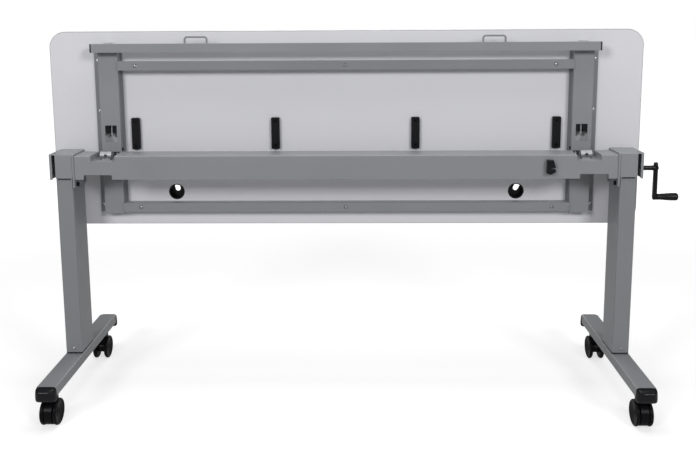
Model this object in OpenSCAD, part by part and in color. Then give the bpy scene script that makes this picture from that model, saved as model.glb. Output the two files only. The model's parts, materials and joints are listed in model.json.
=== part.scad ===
// Flip top training table on crank lifted legs, with its top standing upright as for storage.
// X runs along the table, Y from the user's side to the far side, Z up. The floor is at 0.

/* [Top] */
// Width of the top
desk_w = 1829; // [1780:1:2000]
// Depth of the top, its height while it stands upright
desk_d = 608; // [580:1:720]
// Thickness of the top
desk_t = 25; // [20:1:32]
// Corner radius of the top
desk_corner_r = 50; // [20:1:80]
// Thickness of the edge band
edge_t = 2; // [1:0.5:3]
// Reach of the top behind the hinge
rear_reach = 226; // [210:1:260]

/* [Top frame] */
// Distance of each channel's centre line from the axis of the leg beside it
chan_inset = 117; // [109:1:144]
// Width of a channel's web
chan_w = 60; // [56:1:62]
// Depth of a channel
chan_h = 28; // [26:1:32]
// Sheet thickness of the channels and rails
chan_t = 2.5; // [2:0.5:3]
// Width of a channel's outer flange
flange_out = 20; // [14:1:22]
// Width of a channel's inner flange
flange_in = 7; // [5:1:12]
// Distance of the channels' front ends from the front edge of the top
chan_front_gap = 42.5; // [36:0.5:60]
// Reach of the channels behind the hinge
chan_rear = 185.5; // [182:0.5:200]
// Width of the two cross rails
rail_w = 27.5; // [24:0.5:32]
// Depth of the two cross rails
rail_d = 33; // [30:1:35]
// Distance of the front rail's centre line from the channels' front ends
front_rail_in = 62; // [50:0.5:80]
// Distance of the rear rail's centre line from the channels' rear ends
rear_rail_in = 20; // [17:0.5:35]

/* [Bumpers and grommets] */
// Width of a bumper strip
strip_w = 26; // [20:1:30]
// Length of a bumper strip
strip_len = 99; // [80:1:110]
// Distance of the outer strips from the channels' centre lines
strip_outer_in = 72; // [67:1:127]
// Distance of the inner strips from the middle of the table
strip_inner_x = 218; // [150:1:300]
// Inside radius of a grommet
grommet_r = 21.7; // [18:0.1:26]
// Distance of each grommet from the channel's centre line
grommet_in = 191.5; // [167:0.5:247]
// Distance of the grommets behind the hinge
grommet_b = 122; // [110:1:126]

/* [Beam] */
// Height of the beam
beam_h = 72; // [68:1:80]
// Depth of the beam, front to back
beam_d = 87; // [84:1:92]
// Distance of the beam's front face from the leg axis
beam_front = 53; // [50:1:56]
// Drop of the beam's top below the tops of the heads
beam_drop = 5; // [3:1:8]
// Depth of the recess that takes a channel
recess_h = 18; // [16:1:20]
// Height of the notch under the beam at each end
notch_h = 14; // [8:1:16]
// Width of the notch under the beam
notch_w = 85; // [60:1:88]
// Sheet thickness of the beam
beam_t = 2.5; // [2:0.5:3]

/* [Legs] */
// Distance between the two legs
leg_span = 1688; // [1680:1:1800]
// Height of the heads' tops above the floor at the lowest setting
head_top = 754; // [730:1:800]
// Travel of the lift
lift = 400; // [250:1:410]
// Width of an outer column
col_w = 50; // [48:1:56]
// Depth of an outer column
col_d = 104; // [96:1:112]
// Wall of the outer columns
col_t = 2.5; // [2:0.5:3]
// Wall of the inner legs
leg_t = 2.5; // [2:0.5:3]
// Height of a head cover
head_h = 73; // [70:1:76]
// Sheet thickness of the head covers
head_t = 2; // [1.5:0.5:2.5]
// Width of the open space between a column and its head's outer plate
head_gap = 16; // [12:1:20]

/* [Feet] */
// Width of a foot tube
foot_w = 56; // [52:1:64]
// Height of a foot tube
foot_h = 30; // [28:1:36]
// Length of a foot tube
foot_len = 558; // [520:1:620]
// Wall of the foot tubes
foot_t = 2.5; // [2:0.5:3]
// Distance by which an end cap stands out of the tube
cap_out = 22; // [16:1:28]

/* [Casters] */
// Height of a caster under the foot
caster_h = 96; // [94:1:104]
// Wheel radius
wheel_r = 37.5; // [35:0.5:38]
// Width of one of the two wheels
wheel_w = 12; // [10:0.5:14]
// Height of the front casters' web above the floor, between the wheels
front_web_up = 2; // [1:0.5:6]
// Height of the rear casters' web above the floor, between the wheels
rear_web_up = 20; // [6:0.5:22]
// Distance of the wheel axle behind the swivel axis
caster_trail = 18; // [14:1:20]
// Distance of each swivel axis from the end of its foot tube
caster_inset = 49; // [47:1:79]

/* [Crank] */
// Height of the cross shaft below the heads' tops
shaft_drop = 55; // [52:1:58]
// Radius of the cross shaft
shaft_r = 6; // [5:0.5:6]
// Radius of the crank
crank_r = 89.5; // [80:0.5:100]
// Reach of the crank from the leg axis to the end of its grip
crank_reach = 169; // [160:1:180]
// Length of the grip
grip_len = 65; // [55:1:70]
// Largest radius of the grip
grip_r = 11.5; // [10:0.5:13]
// Radius of a leadscrew
screw_r = 8; // [7:0.5:8]

/* [Latch] */
// Width of the release bar
bar_d = 25; // [22:1:26]
// Height of the release bar
bar_h = 26.5; // [24:0.5:28]
// Reach of the release bar with its caps beyond the channels' centre lines
bar_over = 44.5; // [33:0.5:70]
// Distance of the release bar from the channels' front ends
bar_front_gap = 20.5; // [17.5:0.5:23.5]
// Travel of the release bar
bar_travel = 10; // [8:1:12]
// Width of a pull loop
loop_w = 72; // [60:1:90]
// Height of a pull loop above the bar
loop_h = 22; // [18:1:30]
// Distance of each pull loop from the channel's centre line
loop_in = 276; // [227:1:347]
// Wire radius of a pull loop
loop_r = 2.5; // [2:0.25:3]
// Radius of a latch rod
rod_r = 4; // [3.5:0.25:4]

/* [Hidden] */
$fn = 48;

// Clearances: a running fit, a fit between fixed pieces, a gap between sliding faces, an overrun for cuts
run_gap = 0.06;
seat_gap = 0.05;
slide_gap = 0.3;
over = 1;

// Colours
steel_grey = [0.50, 0.51, 0.53];
board_grey = [0.80, 0.80, 0.83];
black = [0.10, 0.10, 0.11];
bright = [0.78, 0.78, 0.80];
bronze = [0.66, 0.52, 0.28];

// Main levels and planes
beam_top = head_top - beam_drop;
beam_bot = beam_top - beam_h;
beam_y0 = -beam_front;
beam_y1 = beam_y0 + beam_d;
recess_floor = beam_top - recess_h;

// Hinge: its axis lies behind the beam and just behind the channels' webs
hinge_back = 16;
hinge_to_web = 3;
nest_gap = 0.5;
hinge_y = beam_y1 + hinge_back;
hinge_z = recess_floor + nest_gap + hinge_to_web;
leg_x = leg_span / 2;
chan_x = leg_x - chan_inset;
chan_front = desk_d - rear_reach - chan_front_gap;
front_rail_b = chan_front - front_rail_in;
rear_rail_b = chan_rear - rear_rail_in;
web_y = hinge_y - hinge_to_web;
web_in = web_y + chan_t;
under_y = web_y + chan_h;
work_y = under_y + desk_t;
desk_z0 = hinge_z - rear_reach;
desk_z1 = desk_z0 + desk_d;
chan_z0 = hinge_z - chan_rear;
chan_z1 = hinge_z + chan_front;
chan_in = chan_x - chan_w / 2;
chan_out = chan_x + chan_w / 2;
cavity_w = chan_w / 2 - chan_t;

// Legs
foot_top = caster_h + foot_h;
caster_y = foot_len / 2 - caster_inset;
glide_t = 1.7;
glide_flange = 3;
glide_len = 40;
glide_lift = 2.5;
col_z0 = foot_top + glide_lift + glide_flange;
leg_w = col_w - 2 * (col_t + glide_t + slide_gap);
leg_d = col_d - 2 * (col_t + glide_t + slide_gap);
leg_overlap = 90;
leg_top = col_z0 + lift + leg_overlap;
leg_plate_t = 6;
leg_plug_h = 20;
head_face = 2;
head_bot = head_top - head_h;
slot_h = 4;
slot_w = 40;
slot_lip = 1.5;
head_x0 = leg_x - col_w / 2 - head_t;
head_x1 = leg_x + col_w / 2 + head_gap + head_t;
end_t = 5;
beam_end = head_x0 - end_t;

// Cross shaft, crank and screws
shaft_z = head_top - shaft_drop;
shaft_room = 3;
shaft_hole_r = shaft_r + shaft_room;
shaft_tail = 3;
crank_x = leg_x + crank_reach;
mid_x = -(crank_x - desk_w / 2) / 2;

// Draws the children round the middle of the table, which lies beside the origin by half the crank's overhang
module placed() translate([mid_x, 0, 0]) children();

// Draws the children on the right and mirrored on the left
module both() {
  children();
  mirror([1, 0, 0]) children();
}
module left() mirror([1, 0, 0]) children();

// A box between two corners
module box(a, b) translate(a) cube(b - a);

// Round bars along each axis from p to q
module rod_x(r, x0, x1, y, z) translate([x0, y, z]) rotate([0, 90, 0]) cylinder(r = r, h = x1 - x0);
module rod_y(r, x, y0, y1, z) translate([x, y0, z]) rotate([-90, 0, 0]) cylinder(r = r, h = y1 - y0);
module rod_z(r, x, y, z0, z1) translate([x, y, z0]) cylinder(r = r, h = z1 - z0);

// A rectangle with round corners, centred
module rounded(w, h, r) {
  square([w - 2 * r, h], center = true);
  square([w, h - 2 * r], center = true);
  for (i = [-1, 1], j = [-1, 1]) translate([i * (w / 2 - r), j * (h / 2 - r)]) circle(r);
}

// An upright rectangular tube with round corners, centred on the axis at x
module column_tube(x, w, d, t, z0, z1, r) translate([x, 0, z0]) linear_extrude(z1 - z0) difference() {
  rounded(w, d, r);
  rounded(w - 2 * t, d - 2 * t, max(r - t, t / 2));
}

// Turns a profile drawn with its x as Y and its y as Z into a solid from x0 to x1
module across(x0, x1) translate([x0, 0, 0]) rotate([90, 0, 90]) linear_extrude(x1 - x0) children();

// Turns a profile drawn with its x as X and its y as Z into a solid from y0 to y1
module facing(y0, y1) translate([0, y1, 0]) rotate([90, 0, 0]) linear_extrude(y1 - y0) children();

// A slot outline with its upper corners rounded, from over below the bottom edge up
module notch_profile(w, h, r) {
  translate([-w / 2, -over]) square([w, h - r + over]);
  translate([-w / 2 + r, -over]) square([w - 2 * r, h + over]);
  for (s = [-1, 1]) translate([s * (w / 2 - r), h - r]) circle(r);
}

// The outline of a folded sheet's outside, and of the sheet itself, open below
bend_r = 3;
bend_in = 0.8;
module folded_outline(w, h) intersection() {
  notch_profile(w, h, bend_r);
  translate([-w, 0]) square([2 * w, 2 * h]);
}
module folded(w, h, t) difference() {
  folded_outline(w, h);
  notch_profile(w - 2 * t, h - t, bend_in);
}

// Feet
foot_r = 3;
cap_fit = 0.2;
cap_depth = 25;
cap_face = 0.6;
cap_round = 13;
cap_drop = 4;
leg_bolt_y = 30;
leg_bolt_r = 5;
stem_r = 5;
stem_up = 22;
stem_play = 0.2;
stem_hole_r = stem_r + stem_play;
nut_h = 8;
bolt_head_r = 8.5;
bolt_head_h = 6.5;

module foot() difference() {
  translate([leg_x, foot_len / 2, caster_h + foot_h / 2]) rotate([90, 0, 0]) linear_extrude(foot_len)
    difference() {
      rounded(foot_w, foot_h, foot_r);
      rounded(foot_w - 2 * foot_t, foot_h - 2 * foot_t, foot_r - foot_t + over / 2);
    }
  for (s = [-1, 1]) {
    rod_z(stem_hole_r, leg_x, s * caster_y, caster_h - over, caster_h + foot_t + over);
    rod_z(leg_bolt_r + seat_gap, leg_x, s * leg_bolt_y, caster_h - over, foot_top + over);
  }
}

// One moulded cap: a plug in the tube and a face that bulges to the front and below
module foot_cap() {
  plug_w = foot_w - 2 * (foot_t + cap_fit);
  plug_h = foot_h - 2 * (foot_t + cap_fit);
  y_end = foot_len / 2;
  facing(-y_end, -y_end + cap_depth) translate([leg_x, caster_h + foot_h / 2])
    rounded(plug_w, plug_h, foot_r / 2);
  intersection() {
    translate([leg_x, -y_end, caster_h - cap_drop]) linear_extrude(foot_h + cap_drop + cap_face) intersection() {
      rounded(foot_w + 2 * cap_face, 2 * cap_out, cap_round);
      translate([-foot_w, -2 * cap_out]) square([2 * foot_w, 2 * cap_out]);
    }
    across(leg_x - foot_w, leg_x + foot_w) translate([-y_end, caster_h + (foot_h - cap_drop + cap_face) / 2])
      rounded(2 * cap_out, foot_h + cap_drop + cap_face, cap_round);
  }
}

// Inner leg: a tube with a welded plug below and a plate above, which carries the nut
nut_r = 14;
nut_len = 28;
nut_flange_r = 19;
nut_flange_t = 4;
leg_r = 4;
slider_len = 34;
slider_drop = 2;
slider_z1 = leg_top - slider_drop;

module leg() {
  column_tube(leg_x, leg_w, leg_d, leg_t, foot_top, leg_top, leg_r);
  difference() {
    box([leg_x - leg_w / 2 + leg_t, -leg_d / 2 + leg_t, foot_top],
        [leg_x + leg_w / 2 - leg_t, leg_d / 2 - leg_t, foot_top + leg_plug_h]);
    for (s = [-1, 1])
      rod_z(leg_bolt_r + seat_gap, leg_x, s * leg_bolt_y, foot_top - over, foot_top + leg_plug_h + over);
  }
  difference() {
    box([leg_x - leg_w / 2 + leg_t, -leg_d / 2 + leg_t, leg_top - leg_plate_t],
        [leg_x + leg_w / 2 - leg_t, leg_d / 2 - leg_t, leg_top]);
    rod_z(nut_r + seat_gap, leg_x, 0, leg_top - leg_plate_t - over, leg_top + over);
  }
}

module slider() translate([leg_x, 0, slider_z1 - slider_len]) linear_extrude(slider_len) difference() {
  rounded(col_w - 2 * (col_t + slide_gap), col_d - 2 * (col_t + slide_gap), leg_r + glide_t);
  rounded(leg_w + 2 * seat_gap, leg_d + 2 * seat_gap, leg_r);
}

module leg_nut() difference() {
  union() {
    rod_z(nut_r, leg_x, 0, leg_top - nut_len, leg_top + nut_flange_t);
    rod_z(nut_flange_r, leg_x, 0, leg_top, leg_top + nut_flange_t);
  }
  rod_z(screw_r + run_gap, leg_x, 0, leg_top - nut_len - over, leg_top + nut_flange_t + over);
}

module foot_fastener_set() for (s = [-1, 1]) {
  rod_z(leg_bolt_r, leg_x, s * leg_bolt_y, caster_h, foot_top + leg_plug_h);
  translate([leg_x, s * leg_bolt_y, caster_h - bolt_head_h]) cylinder(r = bolt_head_r, h = bolt_head_h, $fn = 6);
  difference() {
    translate([leg_x, s * caster_y, caster_h + foot_t]) cylinder(r = bolt_head_r, h = nut_h, $fn = 6);
    rod_z(stem_r + seat_gap, leg_x, s * caster_y, caster_h, caster_h + foot_t + nut_h + over);
  }
}

// Casters: a stem with a collar, a hood that swivels on it, and a pair of wheels on an axle
stem_drop = 28;
collar_r = 10;
collar_h = 2.5;
web_w = 22;
boss_r = 13;
hood_gap = 0.5;
hood_rim = 2.5;
axle_r = 4;
wheel_gap = 1;
wheel_round = 4;
rim_r = 32;
hub_r = 11;
hub_dish = 6;
axle_end = 2;
axle_z = wheel_r;
wheel_x0 = web_w / 2 + wheel_gap;
wheel_x1 = wheel_x0 + wheel_w;

module caster_stem(y) {
  rod_z(stem_r, leg_x, y, caster_h - stem_drop, caster_h + stem_up);
  rod_z(collar_r, leg_x, y, caster_h - collar_h, caster_h);
}

// The hood is drawn about its swivel axis, with the wheels towards the user's side: a web between the wheels,
// a rim over the web's upper rear part and a boss for the stem
hood_neck = 9;
hood_neck_up = 22;
rim_cut = 7.5;

module caster_hood(y, web_up) translate([leg_x, y, 0]) difference() {
  hood_r = wheel_r + hood_rim;
  hood_top = caster_h - collar_h - hood_gap;
  union() {
    across(-web_w / 2, web_w / 2) {
      translate([-caster_trail, axle_z]) circle(axle_z - web_up);
      translate([-caster_trail, axle_z]) intersection() {
        circle(hood_r);
        polygon([[-rim_cut, 0], [-rim_cut, 2 * wheel_r], [2 * wheel_r, 2 * wheel_r], [2 * wheel_r, 0]]);
      }
      polygon([[-caster_trail - rim_cut, axle_z], [hood_neck, axle_z + hood_neck_up],
               [hood_neck, hood_top - over], [-hood_neck, hood_top - over]]);
    }
    rod_z(boss_r, 0, 0, axle_z + wheel_r, hood_top);
  }
  rod_z(stem_r + run_gap, 0, 0, caster_h - stem_drop - hood_gap, caster_h);
  rod_x(axle_r + run_gap, -web_w, web_w, -caster_trail, axle_z);
}

// One wheel: a rounded tread and a dished outer face
module wheel_half() rotate([0, 90, 0]) rotate_extrude() {
  polygon([[axle_r, wheel_x0], [wheel_r, wheel_x0], [wheel_r, wheel_x1 - wheel_round],
           [wheel_r - wheel_round, wheel_x1 - wheel_round], [wheel_r - wheel_round, wheel_x1],
           [rim_r, wheel_x1], [hub_r, wheel_x1 - hub_dish], [axle_r, wheel_x1 - hub_dish]]);
  intersection() {
    translate([wheel_r - wheel_round, wheel_x1 - wheel_round]) circle(wheel_round);
    translate([wheel_r - wheel_round, wheel_x1 - wheel_round]) square(wheel_round);
  }
}

module caster_wheels(y) translate([leg_x, y - caster_trail, axle_z]) {
  wheel_half();
  mirror([1, 0, 0]) wheel_half();
  rod_x(axle_r - seat_gap, -wheel_x1 + hub_dish - axle_end, wheel_x1 - hub_dish + axle_end, 0, 0);
}

// Outer columns with a slot under the head
col_r = 4;
shaft_cut = 2 * col_w;
screw_head_r = 4;
screw_head_h = 2.5;
col_screw_up = 12.5;
col_screw_r = 2.5;

module column() difference() {
  union() {
    column_tube(leg_x, col_w, col_d, col_t, col_z0, head_top - head_t - bend_in, col_r);
    box([leg_x - slot_w / 2, -col_d / 2 - slot_lip, head_bot - slot_h - slot_lip],
        [leg_x + slot_w / 2, -col_d / 2 + col_t, head_bot - slot_h]);
  }
  box([leg_x - slot_w / 2, -col_d / 2 - over, head_bot - slot_h],
      [leg_x + slot_w / 2, -col_d / 2 + 2 * col_t, head_bot]);
  rod_x(shaft_hole_r, leg_x - shaft_cut, leg_x + shaft_cut, 0, shaft_z);
  for (s = [-1, 1])
    rod_y(col_screw_r + seat_gap, leg_x, min(s * col_d, 0), max(s * col_d, 0), col_z0 + col_screw_up);
}

module column_screw_set() for (s = [-1, 1]) {
  y_face = s * col_d / 2;
  y_in = s * (col_d / 2 - col_t - glide_t);
  rod_y(col_screw_r, leg_x, min(y_face, y_in), max(y_face, y_in), col_z0 + col_screw_up);
  rod_y(screw_head_r, leg_x, min(y_face, y_face + s * screw_head_h), max(y_face, y_face + s * screw_head_h),
        col_z0 + col_screw_up);
}

// Glide bush: a sleeve between the tubes with a rim under the outer column
module glide_bush() difference() {
  union() {
    translate([leg_x, 0, col_z0 - glide_flange]) linear_extrude(glide_flange) rounded(col_w, col_d, col_r);
    translate([leg_x, 0, col_z0 - glide_flange]) linear_extrude(glide_flange + glide_len)
      rounded(col_w - 2 * (col_t + seat_gap), col_d - 2 * (col_t + seat_gap), col_t);
  }
  translate([leg_x, 0, col_z0 - glide_flange - over]) linear_extrude(glide_flange + glide_len + 2 * over)
    rounded(leg_w + 2 * slide_gap, leg_d + 2 * slide_gap, leg_r);
  for (s = [-1, 1])
    rod_y(col_screw_r + seat_gap, leg_x, min(s * col_d, 0), max(s * col_d, 0), col_z0 + col_screw_up);
}

// Head cover: a box of folded sheet round the column's top, whose top plate carries an outer plate with lips
lip_w = 8;
outer_drop = 4;

module head() difference() {
  w = col_d + 2 * head_face;
  intersection() {
    union() {
      box([head_x0, -w / 2, head_top - head_t], [head_x1, w / 2, head_top]);
      box([head_x0, -w / 2, head_bot], [head_x0 + head_t, w / 2, head_top]);
      box([head_x1 - head_t, -w / 2, head_bot - outer_drop], [head_x1, w / 2, head_top]);
      across(head_x0, leg_x + col_w / 2) translate([0, head_bot]) folded(w, head_h, head_face);
      across(head_x1 - lip_w, head_x1) translate([0, head_bot - outer_drop])
        folded(w, head_h + outer_drop, head_t);
    }
    across(head_x0 - over, head_x1 + over) translate([0, head_bot - outer_drop])
      folded_outline(w, head_h + outer_drop);
    translate([(head_x0 + head_x1) / 2, 0, head_bot - 2 * outer_drop]) linear_extrude(head_h + 4 * outer_drop)
      rounded(head_x1 - head_x0, w, bend_r);
  }
  rod_x(shaft_hole_r, head_x0 - over, head_x0 + head_t + over, 0, shaft_z);
  rod_x(bush_r + seat_gap, head_x1 - head_t - over, head_x1 + over, 0, shaft_z);
  for (p = end_bolt_places) rod_x(end_bolt_r + seat_gap, head_x0 - over, head_x0 + head_t + over, p[0], p[1]);
}

// Bushes of the cross shaft in the outer plates
bush_r = 9;
bush_rim_r = 11.5;
bush_rim_t = 2;

module shaft_bush() difference() {
  union() {
    rod_x(bush_r, head_x1 - head_t - bush_rim_t, head_x1, 0, shaft_z);
    rod_x(bush_rim_r, head_x1 - head_t - bush_rim_t, head_x1 - head_t, 0, shaft_z);
  }
  rod_x(shaft_r + run_gap, head_x1 - head_t - bush_rim_t - over, head_x1 + over, 0, shaft_z);
}

// Bevel gears: sixteen teeth each, whose edges all run to the point where the two axes cross
gear_teeth = 16;
gear_r = 15;
gear_add = 1.3;
gear_ded = 2.1;
gear_toe_share = 0.62;
tooth_root_share = 0.56;
tooth_tip_share = 0.22;
gear_hub_r = 10;
gear_hub_h = 4;
box_gap = 0.3;
box_w = col_w - 2 * (col_t + box_gap);
box_d = 48;
box_t = 2.5;
box_floor = 8;
journal_r = 5;
pitch_angle = 360 / gear_teeth;
function gear_point(r, a) = [r * cos(a), r * sin(a)];
function tooth_points(i) = [
  gear_point(gear_r - gear_ded, pitch_angle * (i - tooth_root_share / 2)),
  gear_point(gear_r + gear_add, pitch_angle * (i - tooth_tip_share / 2)),
  gear_point(gear_r + gear_add, pitch_angle * (i + tooth_tip_share / 2)),
  gear_point(gear_r - gear_ded, pitch_angle * (i + tooth_root_share / 2))
];

// A gear about +Z with its wide face at 0 and its apex at gear_r
module bevel_gear(bore, turn) difference() {
  union() {
    rotate([0, 0, turn]) linear_extrude(gear_r * (1 - gear_toe_share), scale = gear_toe_share)
      polygon([for (i = [0 : gear_teeth - 1]) each tooth_points(i)]);
    translate([0, 0, -gear_hub_h]) cylinder(r = gear_hub_r, h = gear_hub_h);
  }
  translate([0, 0, -gear_hub_h - over]) cylinder(r = bore, h = gear_hub_h + gear_r + over);
}

module shaft_gear() translate([leg_x - gear_r, 0, shaft_z]) rotate([0, 90, 0]) bevel_gear(shaft_r + seat_gap, 0);
module screw_gear() translate([leg_x, 0, shaft_z - gear_r]) bevel_gear(journal_r + seat_gap, pitch_angle / 2);

// Gearbox housing, open at its rear, with the leadscrew's bearing in its floor
gear_room = 2;
box_z0 = shaft_z - gear_r - gear_hub_h - box_gap - box_floor;
box_z1 = shaft_z + gear_r + gear_add + gear_room + box_t;

module gearbox() difference() {
  box([leg_x - box_w / 2, -box_d / 2, box_z0], [leg_x + box_w / 2, box_d / 2, box_z1]);
  box([leg_x - box_w / 2 + box_t, -box_d / 2 + box_t, box_z0 + box_floor],
      [leg_x + box_w / 2 - box_t, box_d / 2 + over, box_z1 - box_t]);
  rod_x(shaft_r + run_gap, leg_x - col_w, leg_x + col_w, 0, shaft_z);
  rod_z(journal_r + run_gap, leg_x, 0, box_z0 - over, box_z0 + box_floor + over);
}

// Crossbeam: an inverted channel with a pocket for each top channel and a notch below each end
pocket_gap_in = 7.5;
pocket_gap_out = 5;
pocket_x0 = chan_in - pocket_gap_in;
pocket_x1 = chan_out + pocket_gap_out;
notch_r = 4;
notch_shift = 15;
notch_x = chan_x + notch_shift;

module beam_profile() translate([(beam_y0 + beam_y1) / 2, beam_bot]) folded(beam_d, beam_h, beam_t);

module beam_shell() {
  difference() {
    across(-beam_end, beam_end) beam_profile();
    both() {
      facing(beam_y0 - over, beam_y1 + over) translate([(pocket_x0 + pocket_x1) / 2, beam_top]) mirror([0, 1])
        notch_profile(pocket_x1 - pocket_x0, recess_h, notch_r);
      facing(beam_y0 - over, beam_y1 + over) translate([notch_x, beam_bot])
        notch_profile(notch_w, notch_h, notch_r);
      for (s = [-1, 1])
        rod_y(bracket_screw_r + seat_gap, chan_x + s * bracket_screw_x, beam_y1 - 2 * beam_t, beam_y1 + over,
              bracket_screw_z);
      rod_z(strike_screw_r + seat_gap, chan_x, strike_y, recess_floor - 2 * beam_t, recess_floor + over);
    }
    for (z = clip_screw_zs)
      rod_y(clip_screw_r + seat_gap, clip_x + clip_w / 4, beam_y0 - over, beam_y0 + 2 * beam_t, z);
  }
  both() difference() {
    facing(beam_y0 + beam_t, beam_y1 - beam_t) {
      w = pocket_x1 - pocket_x0;
      translate([(pocket_x0 + pocket_x1) / 2, beam_top - beam_t]) mirror([0, 1]) difference() {
        notch_profile(w + 2 * beam_t, recess_h, notch_r + beam_t);
        translate([0, -beam_t]) notch_profile(w, recess_h, notch_r);
        translate([-w, -2 * over]) square([2 * w, 2 * over]);
      }
    }
    rod_z(strike_screw_r + seat_gap, chan_x, strike_y, recess_floor - 2 * beam_t, recess_floor + over);
  }
}

// End plates, bolted through the heads into the columns
end_drop = 26;
end_front = 3;
end_back = 12;
end_r = 4;
end_bolt_r = 4;
end_head_r = 7;
end_head_h = 6.5;
end_bolt_in = 17;
end_bolt_down = 24;
end_bolt_y0 = beam_y0 + end_bolt_in;
end_bolt_z1 = beam_top - end_bolt_down;
end_bolt_places = [[end_bolt_y0, beam_bot - end_bolt_in], [end_bolt_y0, end_bolt_z1],
                   [beam_y1 - end_bolt_in, end_bolt_z1]];

module end_plate() difference() {
  across(beam_end, beam_end + end_t) translate([(beam_y0 - end_front + beam_y1 + end_back) / 2,
    (beam_bot - end_drop + head_top) / 2])
      rounded(beam_d + end_front + end_back, beam_h + end_drop + beam_drop, end_r);
  rod_x(shaft_hole_r, beam_end - over, beam_end + end_t + over, 0, shaft_z);
  for (p = end_bolt_places) rod_x(end_bolt_r + seat_gap, beam_end - over, beam_end + end_t + over, p[0], p[1]);
}

module end_bolt_set() for (p = end_bolt_places) {
  translate([beam_end - end_head_h, p[0], p[1]]) rotate([0, 90, 0])
    cylinder(r = end_head_r, h = end_head_h, $fn = 6);
  rod_x(end_bolt_r, beam_end, head_x0 + head_t - seat_gap, p[0], p[1]);
}

// Hinge brackets on the beam's back: a base plate and two ears with the pin's bores
pin_r = 4;
ear_r = 8;
ear_in = 15;
ear_t = 4;
base_t = 3.5;
bracket_h = 30;
bracket_drop = 5;
bracket_top = recess_floor - bracket_drop;
ear_lean = 35;
bracket_screw_r = 3;
bracket_screw_x = 8;
bracket_screw_z = bracket_top - bracket_h / 2;
bracket_head_r = 5;
bracket_head_h = 4;

module hinge_bracket() difference() {
  y0 = beam_y1;
  union() {
    box([chan_x - ear_in - ear_t, y0, bracket_top - bracket_h],
        [chan_x + ear_in + ear_t, y0 + base_t, bracket_top]);
    for (x = [chan_x - ear_in - ear_t, chan_x + ear_in]) across(x, x + ear_t) {
      translate([hinge_y, hinge_z]) circle(ear_r);
      polygon([[y0, bracket_top - bracket_h], [y0, bracket_top], [y0 + base_t, bracket_top],
               [hinge_y - ear_r * cos(ear_lean), hinge_z + ear_r * sin(ear_lean)], [hinge_y, hinge_z],
               [hinge_y + ear_r * cos(ear_lean), hinge_z - ear_r * sin(ear_lean)]]);
    }
  }
  rod_x(pin_r + run_gap, chan_x - chan_w, chan_x + chan_w, hinge_y, hinge_z);
  for (s = [-1, 1])
    rod_y(bracket_screw_r + seat_gap, chan_x + s * bracket_screw_x, y0 - over, y0 + base_t + over,
          bracket_screw_z);
}

// Latch: window in the web, strike block in the pocket, guides, rods and springs
strike_hole_h = 13;
latch_y = hinge_y + (recess_floor + strike_hole_h - hinge_z);
window_w = 36;
window_b0 = 41;
window_b1 = 93.5;
guide_b0 = 69.5;
strike_r = 12.8;
strike_len = 34;
strike_foot_w = 26;
strike_foot_d = 18;
strike_b = (window_b0 + guide_b0) / 2;
strike_y = hinge_y - strike_b;
strike_play = 0.6;
strike_screw_r = 2.5;
strike_screw_len = 8;

module strike_block() difference() {
  union() {
    rod_x(strike_r, chan_x - strike_len / 2, chan_x + strike_len / 2, strike_y, recess_floor + strike_hole_h);
    box([chan_x - strike_foot_w / 2, strike_y - strike_foot_d / 2, recess_floor],
        [chan_x + strike_foot_w / 2, strike_y + strike_foot_d / 2, recess_floor + strike_hole_h]);
  }
  rod_y(rod_r + strike_play, chan_x, strike_y - 2 * strike_r, strike_y + 2 * strike_r,
        recess_floor + strike_hole_h);
  rod_z(strike_screw_r + seat_gap, chan_x, strike_y, recess_floor - over, recess_floor + strike_screw_len);
}

// Storage clip for the crank: a C whose jaw opens to the right
clip_in = 128;
clip_x = chan_x - clip_in;
clip_w = 25;
clip_h = 43;
clip_z = 692;
clip_d = 16;
clip_jaw_r = 6;
clip_slot = 5;
clip_cut = 7;
clip_screw_r = 2;
clip_screw_share = 0.8;
clip_screw_zs = [clip_z + clip_h * clip_screw_share];
clip_jaw_share = 0.6;
clip_jaw_x = clip_x + clip_w * clip_jaw_share;
clip_jaw_z = clip_z + clip_h * (1 - clip_jaw_share);

module clip_block() difference() {
  facing(beam_y0 - clip_d, beam_y0) difference() {
    translate([clip_x, clip_z]) polygon([[0, clip_cut / 3], [clip_w / 2, 0], [clip_w, clip_cut],
      [clip_w, clip_h / 2], [clip_w - clip_cut, clip_h], [0, clip_h]]);
    translate([clip_jaw_x, clip_jaw_z]) circle(clip_jaw_r);
    translate([clip_jaw_x, clip_jaw_z - clip_slot / 2]) square([clip_w, clip_slot]);
  }
  for (z = clip_screw_zs) {
    rod_y(clip_screw_r + seat_gap, clip_x + clip_w / 4, beam_y0 - clip_d - over, beam_y0 + over, z);
    rod_y(screw_head_r + seat_gap, clip_x + clip_w / 4, beam_y0 - clip_d - over,
          beam_y0 - clip_d + screw_head_h, z);
  }
}

module small_screw_set() {
  both() {
    for (s = [-1, 1]) {
      x = chan_x + s * bracket_screw_x;
      rod_y(bracket_screw_r, x, beam_y1 - beam_t, beam_y1 + base_t, bracket_screw_z);
      translate([x, beam_y1 + base_t, bracket_screw_z]) rotate([-90, 0, 0])
        cylinder(r = bracket_head_r, h = bracket_head_h, $fn = 6);
    }
    rod_z(strike_screw_r, chan_x, strike_y, recess_floor - beam_t, recess_floor + strike_screw_len);
    rod_z(screw_head_r, chan_x, strike_y, recess_floor - beam_t - screw_head_h, recess_floor - beam_t);
  }
  for (z = clip_screw_zs) {
    rod_y(clip_screw_r, clip_x + clip_w / 4, beam_y0 - clip_d, beam_y0 + beam_t, z);
    rod_y(screw_head_r, clip_x + clip_w / 4, beam_y0 - clip_d, beam_y0 - clip_d + screw_head_h, z);
  }
}

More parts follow.
